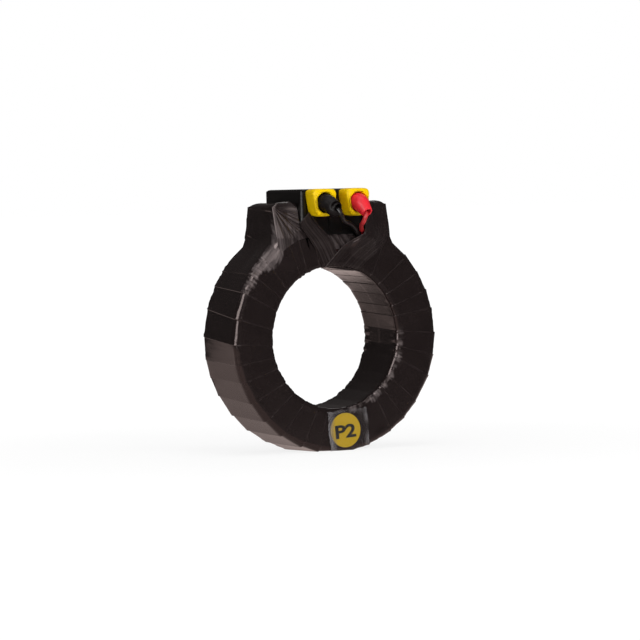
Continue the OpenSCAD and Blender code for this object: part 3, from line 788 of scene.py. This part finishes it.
def sheet_faces(down, across):
    """Faces of a front grid and a back grid, joined all round."""
    w = across + 1
    base = w * (down + 1)
    faces = []
    for i in range(down):
        for j in range(across):
            a = i * w + j
            b = base + a
            faces += [(a, a + 1, a + w + 1, a + w), (b, b + w, b + w + 1, b + 1)]
    for i in range(down):
        a, b = i * w, i * w + across
        faces += [(a, a + w, base + a + w, base + a), (b, base + b, base + b + w, b + w)]
    for j in range(across):
        a, b = j, down * w + j
        faces += [(a, base + a, base + a + 1, a + 1), (b, b + 1, base + b + 1, base + b)]
    return faces


def along(path, t):
    """Point at share t of an open path of straight pieces."""
    path = np.asarray(path, float)
    run = np.concatenate([[0], np.cumsum(np.linalg.norm(np.diff(path, axis=0), axis=1))])
    return np.array([np.interp(t * run[-1], run, path[:, k]) for k in range(path.shape[1])])


def tape_sheet(name, edges, depth, lift, across, down, texture_turn, folds, painted_highlight, turn_back):
    """edges are the left and right one in X and Z. depth gives the face's place under the sheet."""
    left, right = edges
    front, flat_uv, painted_highlight_level = [], [], []
    for i in range(down + 1):
        v = i / down
        a, b = along(left, v), along(right, v)
        for j in range(across + 1):
            u = j / across
            x, z = a + (b - a) * j / across
            front.append((x, -(depth(x, z) + lift + folds(x, z, u, v)), z))
            # each point's painted highlight, which the tape's finish mixes into its colour
            painted_highlight_level.append(painted_highlight(x, z, u, v))
            flat_uv.append((u * np.linalg.norm(b - a) / 10 + texture_turn, v * 2.5))
    front = np.array(front, float)
    points = np.concatenate([front, front + [0, SHEET_THICK, 0]])
    if turn_back:
        points[:, :2] *= -1
    faces = sheet_faces(down, across)
    uvs = [flat_uv[c % len(flat_uv)] for face in faces for c in face]
    piece = mesh_piece(name, points, faces, uvs)
    set_weight(piece, "painted_highlight", painted_highlight_level * 2)
    return settle(piece, tape_black, "tape", "tape_wrap")


print("a sheet of 60 by 90 has", len(sheet_faces(90, 60)), "faces")

# %% What the sheets lie on
SHOULDER_TOP, SHOULDER_SIDE = 77.4, 38.4
TENT_TOP = np.array([16.6, 58.4])
# how far the tent over the leads reaches from its top, by direction in degrees
TENT_REACH = [(-180, 7), (-144, 9.4), (-122, 14), (-85, 15.1), (-47, 19.5), (-16, 17), (43, 9),
              (90, 7), (180, 7)]


def graph(pairs, at):
    return float(np.interp(at, *zip(*pairs)))


def rim_drop(past):
    """How far a rounded rim has dropped, at a distance past its start."""
    return RIM_R - math.sqrt(RIM_R ** 2 - min(max(0.0, past), RIM_R) ** 2)


def over_rim(x, z, depth):
    """Bends a sheet's lower end over the window's rim."""
    return depth - rim_drop(WINDOW_R + RIM_R - math.hypot(x, z))


def shoulder_depth(x, z):
    """Front of a shoulder, which leans back and is rounded over at its top and its side."""
    inset = min(SHOULDER_TOP - z, SHOULDER_SIDE - abs(x) if z > SHOULDER_FOOT else RIM_R)
    return RING_HALF - shoulder_lean(x, z) - rim_drop(RIM_R - inset)


def round_box(x, z):
    """Depth of tape that passes in front of the box's foot and of its lower corners."""
    rise = 1.25 * ramp(49, 57, z) + 0.35 * ramp(58, 63, z)
    past = ramp(22.2, 29, abs(x))
    return (RING_HALF + rise) * (1 - past) + shoulder_depth(x, z) * past


def left_turn(x, z):
    return over_rim(x, z, round_box(x, z))


def right_turn(x, z):
    across, up = np.array([x, z]) - TENT_TOP
    reach = graph(TENT_REACH, math.degrees(math.atan2(up, across)))
    tent = 4.4 * max(0.0, 1 - (math.hypot(across, up) / reach) ** 1.5) ** 1.5
    return over_rim(x, z, round_box(x, z) + tent)


def lap_on_shoulder(x, z):
    """The tape that comes down off the shoulder, past the box's side, to the open V."""
    return shoulder_depth(x, z) + 1.6 * ramp(29, 21, abs(x)) * ramp(55, 62, z) * ramp(79, 66, z)


def under_layer(x, z):
    return over_rim(x, z, RING_HALF - 0.9)


print("tent over the leads", round(right_turn(*TENT_TOP) - left_turn(*TENT_TOP), 1), "mm high")

# %% Folds and painted highlight streaks in the sheets
# u runs across a sheet and v along it, both from 0 to 1
SHOULDER_CORNER = (-37.3, 75.0)
# how much painted highlight the shoulder's lap gets along lines that leave its top corner, by
# degrees below level
FAN = [(0, 0.20), (6, 0.50), (12, 0.42), (19, 0.06), (25, 0.02), (31, 0.16), (34, 0.03),
       (38, 0.22), (41, 0.02), (45, 0.02), (49, 0.26), (54, 0.22), (58, 0.05), (63, 0.24),
       (69, 0.28), (76, 0.26), (84, 0.45), (93, 0.40)]


def from_corner(x, z):
    """Angle below level in degrees, and distance, from the shoulder's top corner."""
    across, down = x - SHOULDER_CORNER[0], SHOULDER_CORNER[1] - z
    return math.degrees(math.atan2(down, across)), math.hypot(across, down)


def shoulder_painted_highlight(x, z, u, v):
    """Painted highlight streaks that fan out from the shoulder's corner towards the open V, and a
    painted highlight along its front edge.
    """
    angle, far = from_corner(x, z)
    # a painted highlight down the shoulder's front edge
    edge = 0.7 * ramp(0.045, 0.02, u) * ramp(0.10, 0.2, v) * ramp(0.80, 0.70, v)
    spread = 0.15 + 0.70 * ramp(3.0, 16.0, far)
    return edge + spread * graph(FAN, angle) * (0.55 + 0.9 * streak(0.9 * angle))


def shoulder_folds(x, z, u, v):
    """Low folds along the same lines, higher the farther they are from the corner."""
    angle, far = from_corner(x, z)
    waves = ((0.010, 0.42, 0.6), (0.004, 1.1, 0), (0.0015, 2.9, 0))
    return far * sum(size * math.sin(pace * angle + start) for size, pace, start in waves)


def edge_folds(x, z, u, v):
    """Low folds that run with the tape, strongest along its free edges."""
    edge = 0.35 + 0.65 * abs(2 * u - 1) ** 2
    long_wave = 0.05 * math.sin(23 * u + 2.1 * v + 0.6 * math.sin(5 * v))
    return edge * (long_wave + 0.03 * math.sin(51 * u - 3 * v + 1.3))


def under_crease(x, z):
    """From 0 to 1 over the creases that run down to the right, under the open V."""
    return abs(math.sin(0.62 * (x + 0.9 * z) + 0.5 * math.sin(0.3 * z)))


def under_folds(x, z, u, v):
    return 0.75 * under_crease(x, z) ** 0.7 - 0.6


def under_painted_highlight(x, z, u, v):
    # a painted highlight on the ridges of the creases, only on their upper part
    return 0.34 * under_crease(x, z) * ramp(43, 52, z)


def left_painted_highlight(x, z, u, v):
    """Fine painted highlight streaks that follow the turn down to the window, and a thin painted
    highlight line near its right edge.
    """
    fine = streak(26 * u + 1.5 * v) ** 2 + 0.6 * streak(61 * u + 40) ** 3
    return 0.13 * fine * ramp(0.0, 0.2, v) + 0.10 * ramp(0.90, 0.97, u) * ramp(1.0, 0.985, u)


def right_painted_highlight(x, z, u, v):
    """A painted highlight line along the free edge beside the V, and faint painted highlight
    streaks behind it.
    """
    edge = 0.30 * ramp(0.045, 0.015, u) * ramp(0.70, 0.55, v) * (0.5 + streak(30 * v))
    return edge + 0.09 * streak(22 * u + 2.0 * v + 55) ** 2 * ramp(0.85, 0.5, v)


print(len(FAN), "knots in the shoulder's fan")

# %% Lay the sheets
# each turn's left and right edge in X and Z, from the window up
UNDER_EDGES = (
    [(-3.0, 43.6), (-6.6, 51.0), (-11.0, 60.6)],
    [(1.0, 44.6), (9.0, 52.6), (18.0, 58.2)])
LEFT_EDGES = (
    [(-8.0, 39.3), (-12.5, 50.0), (-18.0, 57.3), (-22.4, 62.6), (-23.0, 65.6)],
    [(5.4, 40.0), (-0.2, 51.0), (-6.2, 59.2), (-10.0, 62.6), (-17.3, 71.2)])
RIGHT_EDGES = (
    [(-6.9, 40.0), (-4.8, 42.7), (4.7, 52.1), (15.4, 58.4), (18.4, 63.4), (22.6, 69.6),
     (23.0, 76.4)],
    [(14.3, 37.4), (18.6, 41.5), (27.4, 48.2), (33.5, 53.6), (36.0, 60.0), (36.6, 67.0),
     (36.6, 75.0)])
SHOULDER_EDGES = (
    [(-35.4, 50.4), (-36.4, 53.2), (-37.0, 58.5), (-37.1, 66.0), (-37.1, 74.6), (-34.0, 76.9),
     (-28.5, 77.6), (-24.6, 77.8)],
    [(-33.6, 49.8), (-30.7, 51.7), (-27.4, 53.8), (-24.1, 55.5), (-20.4, 56.6), (-16.2, 57.2),
     (-20.6, 62.6), (-22.5, 66.5), (-22.5, 73.0)])
for place in ("front", "rear"):
    # the rear is the front turned half round, but has no leads to tent over
    rear = place == "rear"
    last_turn = left_turn if rear else right_turn
    # edges, depth, lift, columns, rows, shift of the texture, folds and painted highlights
    for name, *shape in (
        ("under_layer", UNDER_EDGES, under_layer, 0.1, 40, 40, 7.0, under_folds, under_painted_highlight),
        ("left_turn", LEFT_EDGES, left_turn, 0.35, 60, 90, 0.0, edge_folds, left_painted_highlight),
        ("shoulder_lap", SHOULDER_EDGES, lap_on_shoulder, 0.25, 60, 120, 4.0, shoulder_folds,
         shoulder_painted_highlight),
        ("right_turn", RIGHT_EDGES, last_turn, 0.75, 90, 110, 9.0, edge_folds, right_painted_highlight),
    ):
        tape_sheet("tape_" + name + "_" + place, *shape, rear)

# %% [markdown]
# ## Solids that keep their shape
# Most solids need only their finish: the moulded box, its rear cover, the metal parts and the
# layers under the tape.

# %% Finishes on the solids
KEPT = {
    "core": core_steel, "core_inner_liner": board, "core_outer_liner": board,
    "core_front_washer": board, "core_rear_washer": board, "secondary_winding": copper,
    "winding_tape": cotton, "saddle_block": moulding, "terminal_box": moulding,
    "rear_cover": moulding, "cable_grommet": grommet_rubber, "left_stud": brass,
    "right_stud": brass, "stud_nuts": plated, "stud_washers": plated,
    "left_lead_socket": plated, "right_lead_socket": plated,
    "front_label": label_paper, "rear_label": label_paper,
}
for name, material in KEPT.items():
    nodes[name].data.materials.clear()
    nodes[name].data.materials.append(material)
print(len(KEPT), "solids dressed")

# %% [markdown]
# ## Shrouds
# Each yellow shroud is a soft square block, narrower below, with a round well for the boot.
# Its section round the well is always a ring, so the mesh is a set of loops: the outer loops
# are soft squares, the inner ones circles, and the loops between fade from one to the other.

# %% Build the shrouds
STUD_HOLE_R, WELL_R, WELL_FLOOR = 2.2, 5.6, 2.0
BACK_BEND, FRONT_BEND, MOUTH_BEND = 1.2, 2.1, 0.8


def soft_square(angle, half):
    """Radius of a square with soft corners, softer below than above."""
    c, s = abs(math.cos(angle)), abs(math.sin(angle))
    power = 5.2 + 1.4 * math.sin(angle)
    return half / (c ** power + s ** power) ** (1 / power)


def closed_loops(count, around):
    """Faces between loops of points, and from the last loop to the first."""
    pairs = [(k * around, (k + 1) % count * around) for k in range(count)]
    return [face for a, b in pairs for face in band(a, b, around)]


def shroud_piece(name, node, around=96):
    near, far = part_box(node)
    mid_x, _, mid_z = middle(node)
    half = (far[0] - near[0]) / 2 / MM + 0.4
    front, rear = near[1] / MM, far[1] / MM
    # each loop's size, its place along Y, and how square it is
    loops = [(STUD_HOLE_R, rear, 0), (half - 1.6, rear, 1)]
    for a in np.radians(range(18, 91, 18)):
        size, y = half - BACK_BEND * (1 - math.sin(a)), rear - BACK_BEND * (1 - math.cos(a))
        loops.append((size, y, 1))
    loops += [(half + 0.12, rear - 4, 1), (half + 0.1, front + 4, 1)]
    for k, a in enumerate(np.radians(range(0, 91, 15))):
        size, y = half - FRONT_BEND * (1 - math.cos(a)), front + FRONT_BEND * (1 - math.sin(a))
        loops.append((size, y, 1 - 0.04 * k))
    for a in np.radians(range(0, 91, 18)):
        size, y = WELL_R + MOUTH_BEND * (1 - math.sin(a)), front + MOUTH_BEND * (1 - math.cos(a))
        loops.append((size, y, 0))
    floor_y = rear - WELL_FLOOR
    loops += [(WELL_R, front + 4, 0), (WELL_R, floor_y, 0), (STUD_HOLE_R, floor_y, 0)]
    points = []
    for size, y, square in loops:
        for a in angles(around):
            r = size * (1 - square) + soft_square(a, size) * square
            x, z = r * math.cos(a), r * math.sin(a)
            narrower = 1 - 0.19 * square * max(0.0, 0.6 - z / half)
            points.append((mid_x + x * narrower, y, mid_z + z))
    faces = closed_loops(len(loops), around)
    settle(mesh_piece(name, points, faces), yellow_plastic, "shroud_yellow", node)


shroud_piece("shroud_left", "left_shroud")
shroud_piece("shroud_right", "right_shroud")

# %% [markdown]
# ## Boots
# A boot is a soft dipped sleeve. It comes straight out of the shroud, then turns down and to
# the right as a blunt cone, and its open tip shows the wall and the hole that the lead leaves
# by. Loops are swept along that bent line, out over the outside and back through the inside.

# %% Build the boots
AROUND_BOOT = 48
BASE_R, BACK_BORE_R, BASE_BORE_R = 5.1, 3.1, 3.05
CONE_R, CONE_BORE_R, CONE_LENGTH = 4.75, 2.85, 9.4
TIP_R, TIP_BORE_R = 3.1, 2.3
KNEE = 2.5


def swept_loops(path, radii):
    """Loops of points round a path, with a radius at each of its points."""
    path = np.asarray(path, float)
    loops = []
    for i, (p, radius) in enumerate(zip(path, radii)):
        way = path[min(i + 1, len(path) - 1)] - path[max(i - 1, 0)]
        way /= np.linalg.norm(way)
        side = np.cross(way, [0.3, 0.2, 0.93])
        side /= np.linalg.norm(side)
        up = np.cross(side, way)
        ways = [math.cos(a) * side + math.sin(a) * up for a in angles(AROUND_BOOT)]
        loops.append([p + radius * way for way in ways])
    return np.array(loops)


def boot_piece(name, node, stud, droop, turn, material, heel):
    at_x, _, at_z = middle(stud)
    bend_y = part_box("left_shroud")[0][1] / MM - 0.4
    droop, turn = math.radians(droop), math.radians(turn)
    level = math.cos(droop)
    heading = np.array([math.sin(turn) * level, -math.cos(turn) * level, -math.sin(droop)])
    knee = np.array([at_x, bend_y, at_z])
    back = np.array([at_x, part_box(node)[1][1] / MM, at_z])
    path = [back, back + [0, -3, 0]]
    out_r, in_r = [BASE_R - 0.05, BASE_R], [BACK_BORE_R, BACK_BORE_R]
    start, end = knee + [0, KNEE, 0], knee + KNEE * heading
    for t in np.linspace(0, 1, 9):
        path.append(bend(start, knee, end, t))
        out_r.append(BASE_R + (CONE_R - BASE_R) * t)
        in_r.append(BASE_BORE_R + (CONE_BORE_R - BASE_BORE_R) * t)
    cone_start = len(path)
    cone = np.linspace(0, 1, 10)[1:]
    for t in cone:
        path.append(knee + (KNEE + (CONE_LENGTH - KNEE) * t) * heading)
        out_r.append(CONE_R + (TIP_R - CONE_R) * t)
        in_r.append(CONE_BORE_R + (TIP_BORE_R - CONE_BORE_R) * t)
    tip = path[-1]
    out_path = path[:-1]
    # a boot that was bent hard bulges under its tip
    for i, t in enumerate(cone[:-1], cone_start):
        swell = heel * math.sin(math.pi * t ** 1.6)
        out_path[i] = path[i] - np.array([0, 0, 1.3 * swell])
        out_r[i] += swell
    # soften the rim of the open tip
    out_path += [tip - 0.5 * heading, tip - 0.15 * heading, tip]
    out_r[-1:] = [TIP_R + 0.05, TIP_R - 0.05, TIP_R - 0.35]
    in_path = path[:-1] + [tip - 0.3 * heading, tip]
    in_r[-1:] = [TIP_BORE_R, TIP_BORE_R + 0.2]
    loops = np.concatenate([swept_loops(out_path, out_r), swept_loops(in_path, in_r)[::-1]])
    faces = flipped(closed_loops(len(loops), AROUND_BOOT))
    settle(mesh_piece(name, loops.reshape(-1, 3), faces), material, name, node)


boot_piece("boot_black", "black_boot", "left_stud", 20, 17, black_rubber, 0.95)
boot_piece("boot_red", "red_boot", "right_stud", 42, 7, red_rubber, 0.0)

# %% [markdown]
# ## Leads
# The two ends of the winding are thin sleeved leads. Each is held at both ends, in its crimp
# and under the tape, and hangs in a short bow between them. Geometry Nodes turn the line of
# points into a smooth tube: the tree takes the diameter and the number of sides as inputs.

# %% A tube along a line, with Geometry Nodes
LEAD_D = 2.5
LEAD_SIDES = 20


def tube_tree():
    tree, given = new_tree("tube", ("Diameter", "Float", LEAD_D * MM), ("Sides", "Int", LEAD_SIDES))
    line = add_node(tree, "GeometryNodeMeshToCurve", {"Mesh": given["Geometry"]}).outputs[0]
    smooth = add_node(tree, "GeometryNodeCurveSplineType", {"Curve": line},
                      spline_type="CATMULL_ROM").outputs[0]
    inputs = {0: smooth, "Resolution": 8}
    finer = add_node(tree, "GeometryNodeSetSplineResolution", inputs).outputs[0]
    radius = sums(tree, "MULTIPLY", given["Diameter"], 0.5)
    inputs = {"Resolution": given["Sides"], "Radius": radius}
    ring = add_node(tree, "GeometryNodeCurvePrimitiveCircle", inputs).outputs[0]
    inputs = {"Curve": finer, "Profile Curve": ring, "Fill Caps": True}
    tube = add_node(tree, "GeometryNodeCurveToMesh", inputs).outputs[0]
    soft = add_node(tree, "GeometryNodeSetShadeSmooth", {"Geometry": tube}).outputs[0]
    end_tree(tree, given, soft)
    return tree


def lead_piece(name, node, stud, route, material):
    """route holds X, reach in front of the ring's face, and height above the ring."""
    at_x, _, stud_z = middle(stud)
    barrel_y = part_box("left_lead_socket")[0][1] / MM
    line = [(at_x, barrel_y + dy, stud_z) for dy in (1.5, 0.4, -0.8)]
    line += [(x, -RING_HALF - reach, RING_R + rise) for x, reach, rise in route]
    mesh = bpy.data.meshes.new(name)
    links = [(i, i + 1) for i in range(len(line) - 1)]
    mesh.from_pydata([tuple(c * MM for c in p) for p in line], links, [])
    piece = bpy.data.objects.new(name, mesh)
    bpy.context.scene.collection.objects.link(piece)
    grow(piece, tubes, Diameter=LEAD_D * MM, Sides=LEAD_SIDES, Material=material)
    print(name, "about", round(sum(math.dist(a, b) for a, b in zip(line, line[1:]))), "mm long")
    settle(piece, material, name, node)


tubes = tube_tree()
BLACK_ROUTE = [
    (-10.3, 14.6, 9.8), (-9.4, 17.4, 8.4), (-8.7, 20, 7.1), (-7.5, 21, 4.6), (-5.2, 18.6, 2.3),
    (-2, 15.4, 0.8), (2, 11.6, -0.2), (6, 8.6, -1.2), (9.6, 6.2, -3.2), (12.9, 3.2, -5.9),
    (16.2, 1, -9), (19.2, 0.2, -11.6), (21.4, -0.9, -13.8), (22, -2.4, -14.6), (22, -4, -14.6)]
RED_ROUTE = [
    (10.4, 14.6, 8), (10.3, 16.6, 5.9), (10.2, 18.4, 4.5), (9.2, 18.9, 2.5), (8.9, 17.2, 0.2),
    (9.5, 14.6, -1), (11.4, 10.4, -2.2), (14, 6, -3.6), (16.4, 2.8, -5), (19.2, 1.2, -7.6),
    (22.4, 0.6, -10.4), (25, -0.7, -13), (25.8, -2.4, -14), (25.8, -4, -14)]
lead_piece("lead_black", "black_lead", "left_stud", BLACK_ROUTE, black_wire)
lead_piece("lead_red", "red_lead", "right_stud", RED_ROUTE, red_wire)

# %% [markdown]
# ## Polarity labels
# A window transformer marks which way the primary current must pass: P1 on one face and P2
# on the other, as every maker does. The mark is dark print on a yellow disc, so it is a
# sheet of letter-shaped mesh just proud of the disc. Clear film holds the disc down, with
# its edges creased where it is pulled over the rims.

# %% The print
LABEL_TURN = math.radians(4.3)
LETTER_HEIGHT = 7.7
LABEL_REACH = (WINDOW_R + RING_R) / 2


def turned(points):
    """Turns the points of a label about the window's axis."""
    c, s = math.cos(LABEL_TURN), math.sin(LABEL_TURN)
    x, y, z = np.asarray(points, float).T
    return np.stack([x * c - z * s, y, x * s + z * c], 1)


def label_print(name, words, face, width):
    """face is -1 at the front and 1 at the rear. The letters are width wide together."""
    text = bpy.data.curves.new(name, "FONT")
    text.body = words
    text.offset = 0.030
    text.resolution_u = 8
    holder = bpy.data.objects.new(name + "_text", text)
    bpy.context.scene.collection.objects.link(holder)
    bpy.context.view_layer.update()
    shape = holder.evaluated_get(bpy.context.evaluated_depsgraph_get())
    flat = bpy.data.meshes.new_from_object(shape)
    bpy.data.objects.remove(holder)
    corners = np.array([v.co[:2] for v in flat.vertices])
    low, high = corners.min(0), corners.max(0)
    x, z = ((corners - (low + high) / 2) / (high - low) * [width, LETTER_HEIGHT]).T
    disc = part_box("front_label" if face < 0 else "rear_label")
    disc_y = (disc[0][1] if face < 0 else disc[1][1]) / MM
    places = [np.stack([-face * x, np.full_like(x, disc_y + face * lift), z - LABEL_REACH - 0.6], 1)
              for lift in (0.03, -0.02)]
    count = len(corners)
    polys = [list(p.vertices) for p in flat.polygons]
    faces = polys + [[v + count for v in reversed(p)] for p in polys]
    edges = dict.fromkeys((a, b) for p in polys for a, b in zip(p, p[1:] + p[:1]))
    # an edge that only one face uses is on the outline, and gets a wall
    faces += [[b, a, a + count, b + count] for a, b in edges if (b, a) not in edges]
    settle(mesh_piece(name, turned(np.concatenate(places)), faces, flat=True), ink, "label_yellow")


label_print("print_front", "P2", -1, 13.4)
label_print("print_rear", "P1", 1, 10.6)

# %% The film
FILM_COLUMNS, FILM_ROWS, FILM_THICK = 72, 60, 0.08


def film_finish():
    material, tree = new_material("clear film")
    where = stretched(tree, object_place(tree), (1.6, 1, 0.5))
    streaks = noise(tree, where, 320.0, 3.0, Distortion=0.8)
    crease = add_node(tree, "ShaderNodeAttribute", attribute_name="crease").outputs["Fac"]
    # the creases turn whitish and less clear: partly the creased film's own whitening, partly
    # painted glints
    haze_and_painted_glint = sums(tree, "MULTIPLY", crease, streaks)
    shader = add_node(tree, "ShaderNodeBsdfPrincipled", {
        "Base Color": blend(tree, streaks, (0.16, 0.15, 0.155, 1), (0.42, 0.39, 0.40, 1)),
        "Roughness": span(tree, streaks, to_low=0.10, to_high=0.30),
        "Alpha": span(tree, haze_and_painted_glint, high=0.75, to_low=0.02, to_high=0.55),
        "Normal": relief(tree, streaks, 0.35)})
    surface(tree, shader.outputs[0])
    return material


def film_creases(u, v):
    """How creased the film is at a place in it, and how high its creases stand there."""
    right_side = 0.75 * max(0.0, 1 - 9 * (1 - u)) * abs(math.sin(5.5 * v + 0.5)) ** 3
    low_side = 0.8 * max(0.0, 1 - 9 * v) * abs(math.cos(2.6 * u + 0.2))
    edge = max(0.0, 1 - 5.5 * u, right_side) + low_side
    waves = 0.20 * math.sin(31 * v + 9 * math.sin(3 * u)) + 0.14 * math.sin(57 * v - 14 * u)
    waves += 0.12 * math.sin(40 * u + 13 * v)
    # it is tucked in at its lower end
    tuck = 1 - 0.8 * ramp(0.88, 1.0, v)
    return min(1.0, edge), (0.42 + min(edge, 1.4) * (0.22 + waves)) * tuck


def film_sheet(name, node, face):
    """A thin creased sheet from rim to rim over the label. face is -1 at the front."""
    top, creases = [], []
    for i in range(FILM_ROWS + 1):
        v = i / FILM_ROWS
        reach = 41.0 + 23.4 * v
        past = WINDOW_R + RIM_R - reach if v < 0.5 else reach - (RING_R - RIM_R)
        for j in range(FILM_COLUMNS + 1):
            u = j / FILM_COLUMNS
            crease, up = film_creases(u, v)
            creases.append(crease)
            x = -11.0 + 26.0 * u + 0.35 * math.sin(9 * v + 4 * u)
            top.append((-face * x, face * (RING_HALF + up - rim_drop(past)), -reach))
    top = np.array(top)
    points = turned(np.concatenate([top, top - [0, face * FILM_THICK, 0]]))
    points[:, 2] = np.maximum(points[:, 2], FOOT_Z)
    piece = mesh_piece(name, points, flipped(sheet_faces(FILM_ROWS, FILM_COLUMNS)))
    set_weight(piece, "crease", creases * 2)
    settle(piece, clear_film, "clear_film", node)


clear_film = film_finish()
film_sheet("film_front", "front_label_film", -1)
film_sheet("film_rear", "rear_label_film", 1)

# %% [markdown]
# ## Cover screws
# Four small screws hold the rear cover. One screw is made as a mesh, with a domed head and a
# cross slot, and Geometry Nodes put a copy on each corner of a grid whose two spacings are
# inputs of the tree. The copies are made real, because an export drops instances.

# %% Screws, with Geometry Nodes
HEAD_R, HEAD_RIM, DOME = 2.2, 0.6, 1.0
SHANK_R, SHANK_LENGTH = 1.25, 8.0
SLOT_DEPTH, SLOT_HALF, SLOT_REACH = 0.75, 0.22, 1.15


def grid_tree():
    tree, given = new_tree("screw grid", ("Across", "Float", None), ("Up", "Float", None),
                           ("Centre", "Vector", None))
    inputs = {"Size X": given["Across"], "Size Y": given["Up"], "Vertices X": 2, "Vertices Y": 2}
    grid = add_node(tree, "GeometryNodeMeshGrid", inputs).outputs[0]
    inputs = {"Geometry": grid, "Translation": given["Centre"], "Rotation": (math.pi / 2, 0, 0)}
    stood = add_node(tree, "GeometryNodeTransform", inputs).outputs[0]
    inputs = {"Points": stood, "Instance": given["Geometry"]}
    end_tree(tree, given, add_node(tree, "GeometryNodeInstanceOnPoints", inputs).outputs[0])
    return tree


def slot_depth(x, z):
    """Depth of the cross slot in the head."""
    arm = 1 - max(0.0, min(abs(x), abs(z)) - SLOT_HALF) / 0.12
    inside = 1 - max(0.0, max(abs(x), abs(z)) - SLOT_REACH) / 0.2
    return SLOT_DEPTH * max(0.0, arm) * max(0.0, inside)


def screw_mesh(name, around=48):
    """A domed head with a cross slot, on its shank, with the head's seat at the origin."""
    loops = [(0.6, -SHANK_LENGTH), (1.2, -7.2), (SHANK_R, 0.0), (HEAD_R, 0.0), (HEAD_R, HEAD_RIM)]
    for a in np.radians(range(9, 88, 6)):
        loops.append((HEAD_R * math.cos(a), HEAD_RIM + DOME * math.sin(a)))
    points = [(0, -SHANK_LENGTH, 0)]
    for r, y in loops:
        for a in angles(around):
            x, z = r * math.cos(a), r * math.sin(a)
            points.append((x, y - (slot_depth(x, z) if y > HEAD_RIM + 0.1 else 0), z))
    points.append((0, HEAD_RIM + DOME - SLOT_DEPTH, 0))
    last, last_loop = len(points) - 1, 1 + (len(loops) - 1) * around
    bands = [band(a, a + around, around) for a in range(1, last_loop, around)]
    faces = [(0, a, d) for a, b, c, d in bands[0]]
    faces += [face for loop in bands for face in loop]
    faces += [(b, last, c) for a, b, c, d in bands[-1]]
    return mesh_piece(name, points, faces)


cover_screws = screw_mesh("cover_screws_domed")
near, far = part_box("cover_screws")
across, upward = [far[k] - near[k] - 2 * HEAD_R * MM for k in (0, 2)]
centre = ((near[0] + far[0]) / 2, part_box("terminal_box")[1][1], (near[2] + far[2]) / 2)
grow(cover_screws, grid_tree(), Across=across, Up=upward, Centre=centre, Material=plated)
settle(cover_screws, plated, "plated_steel", "cover_screws")
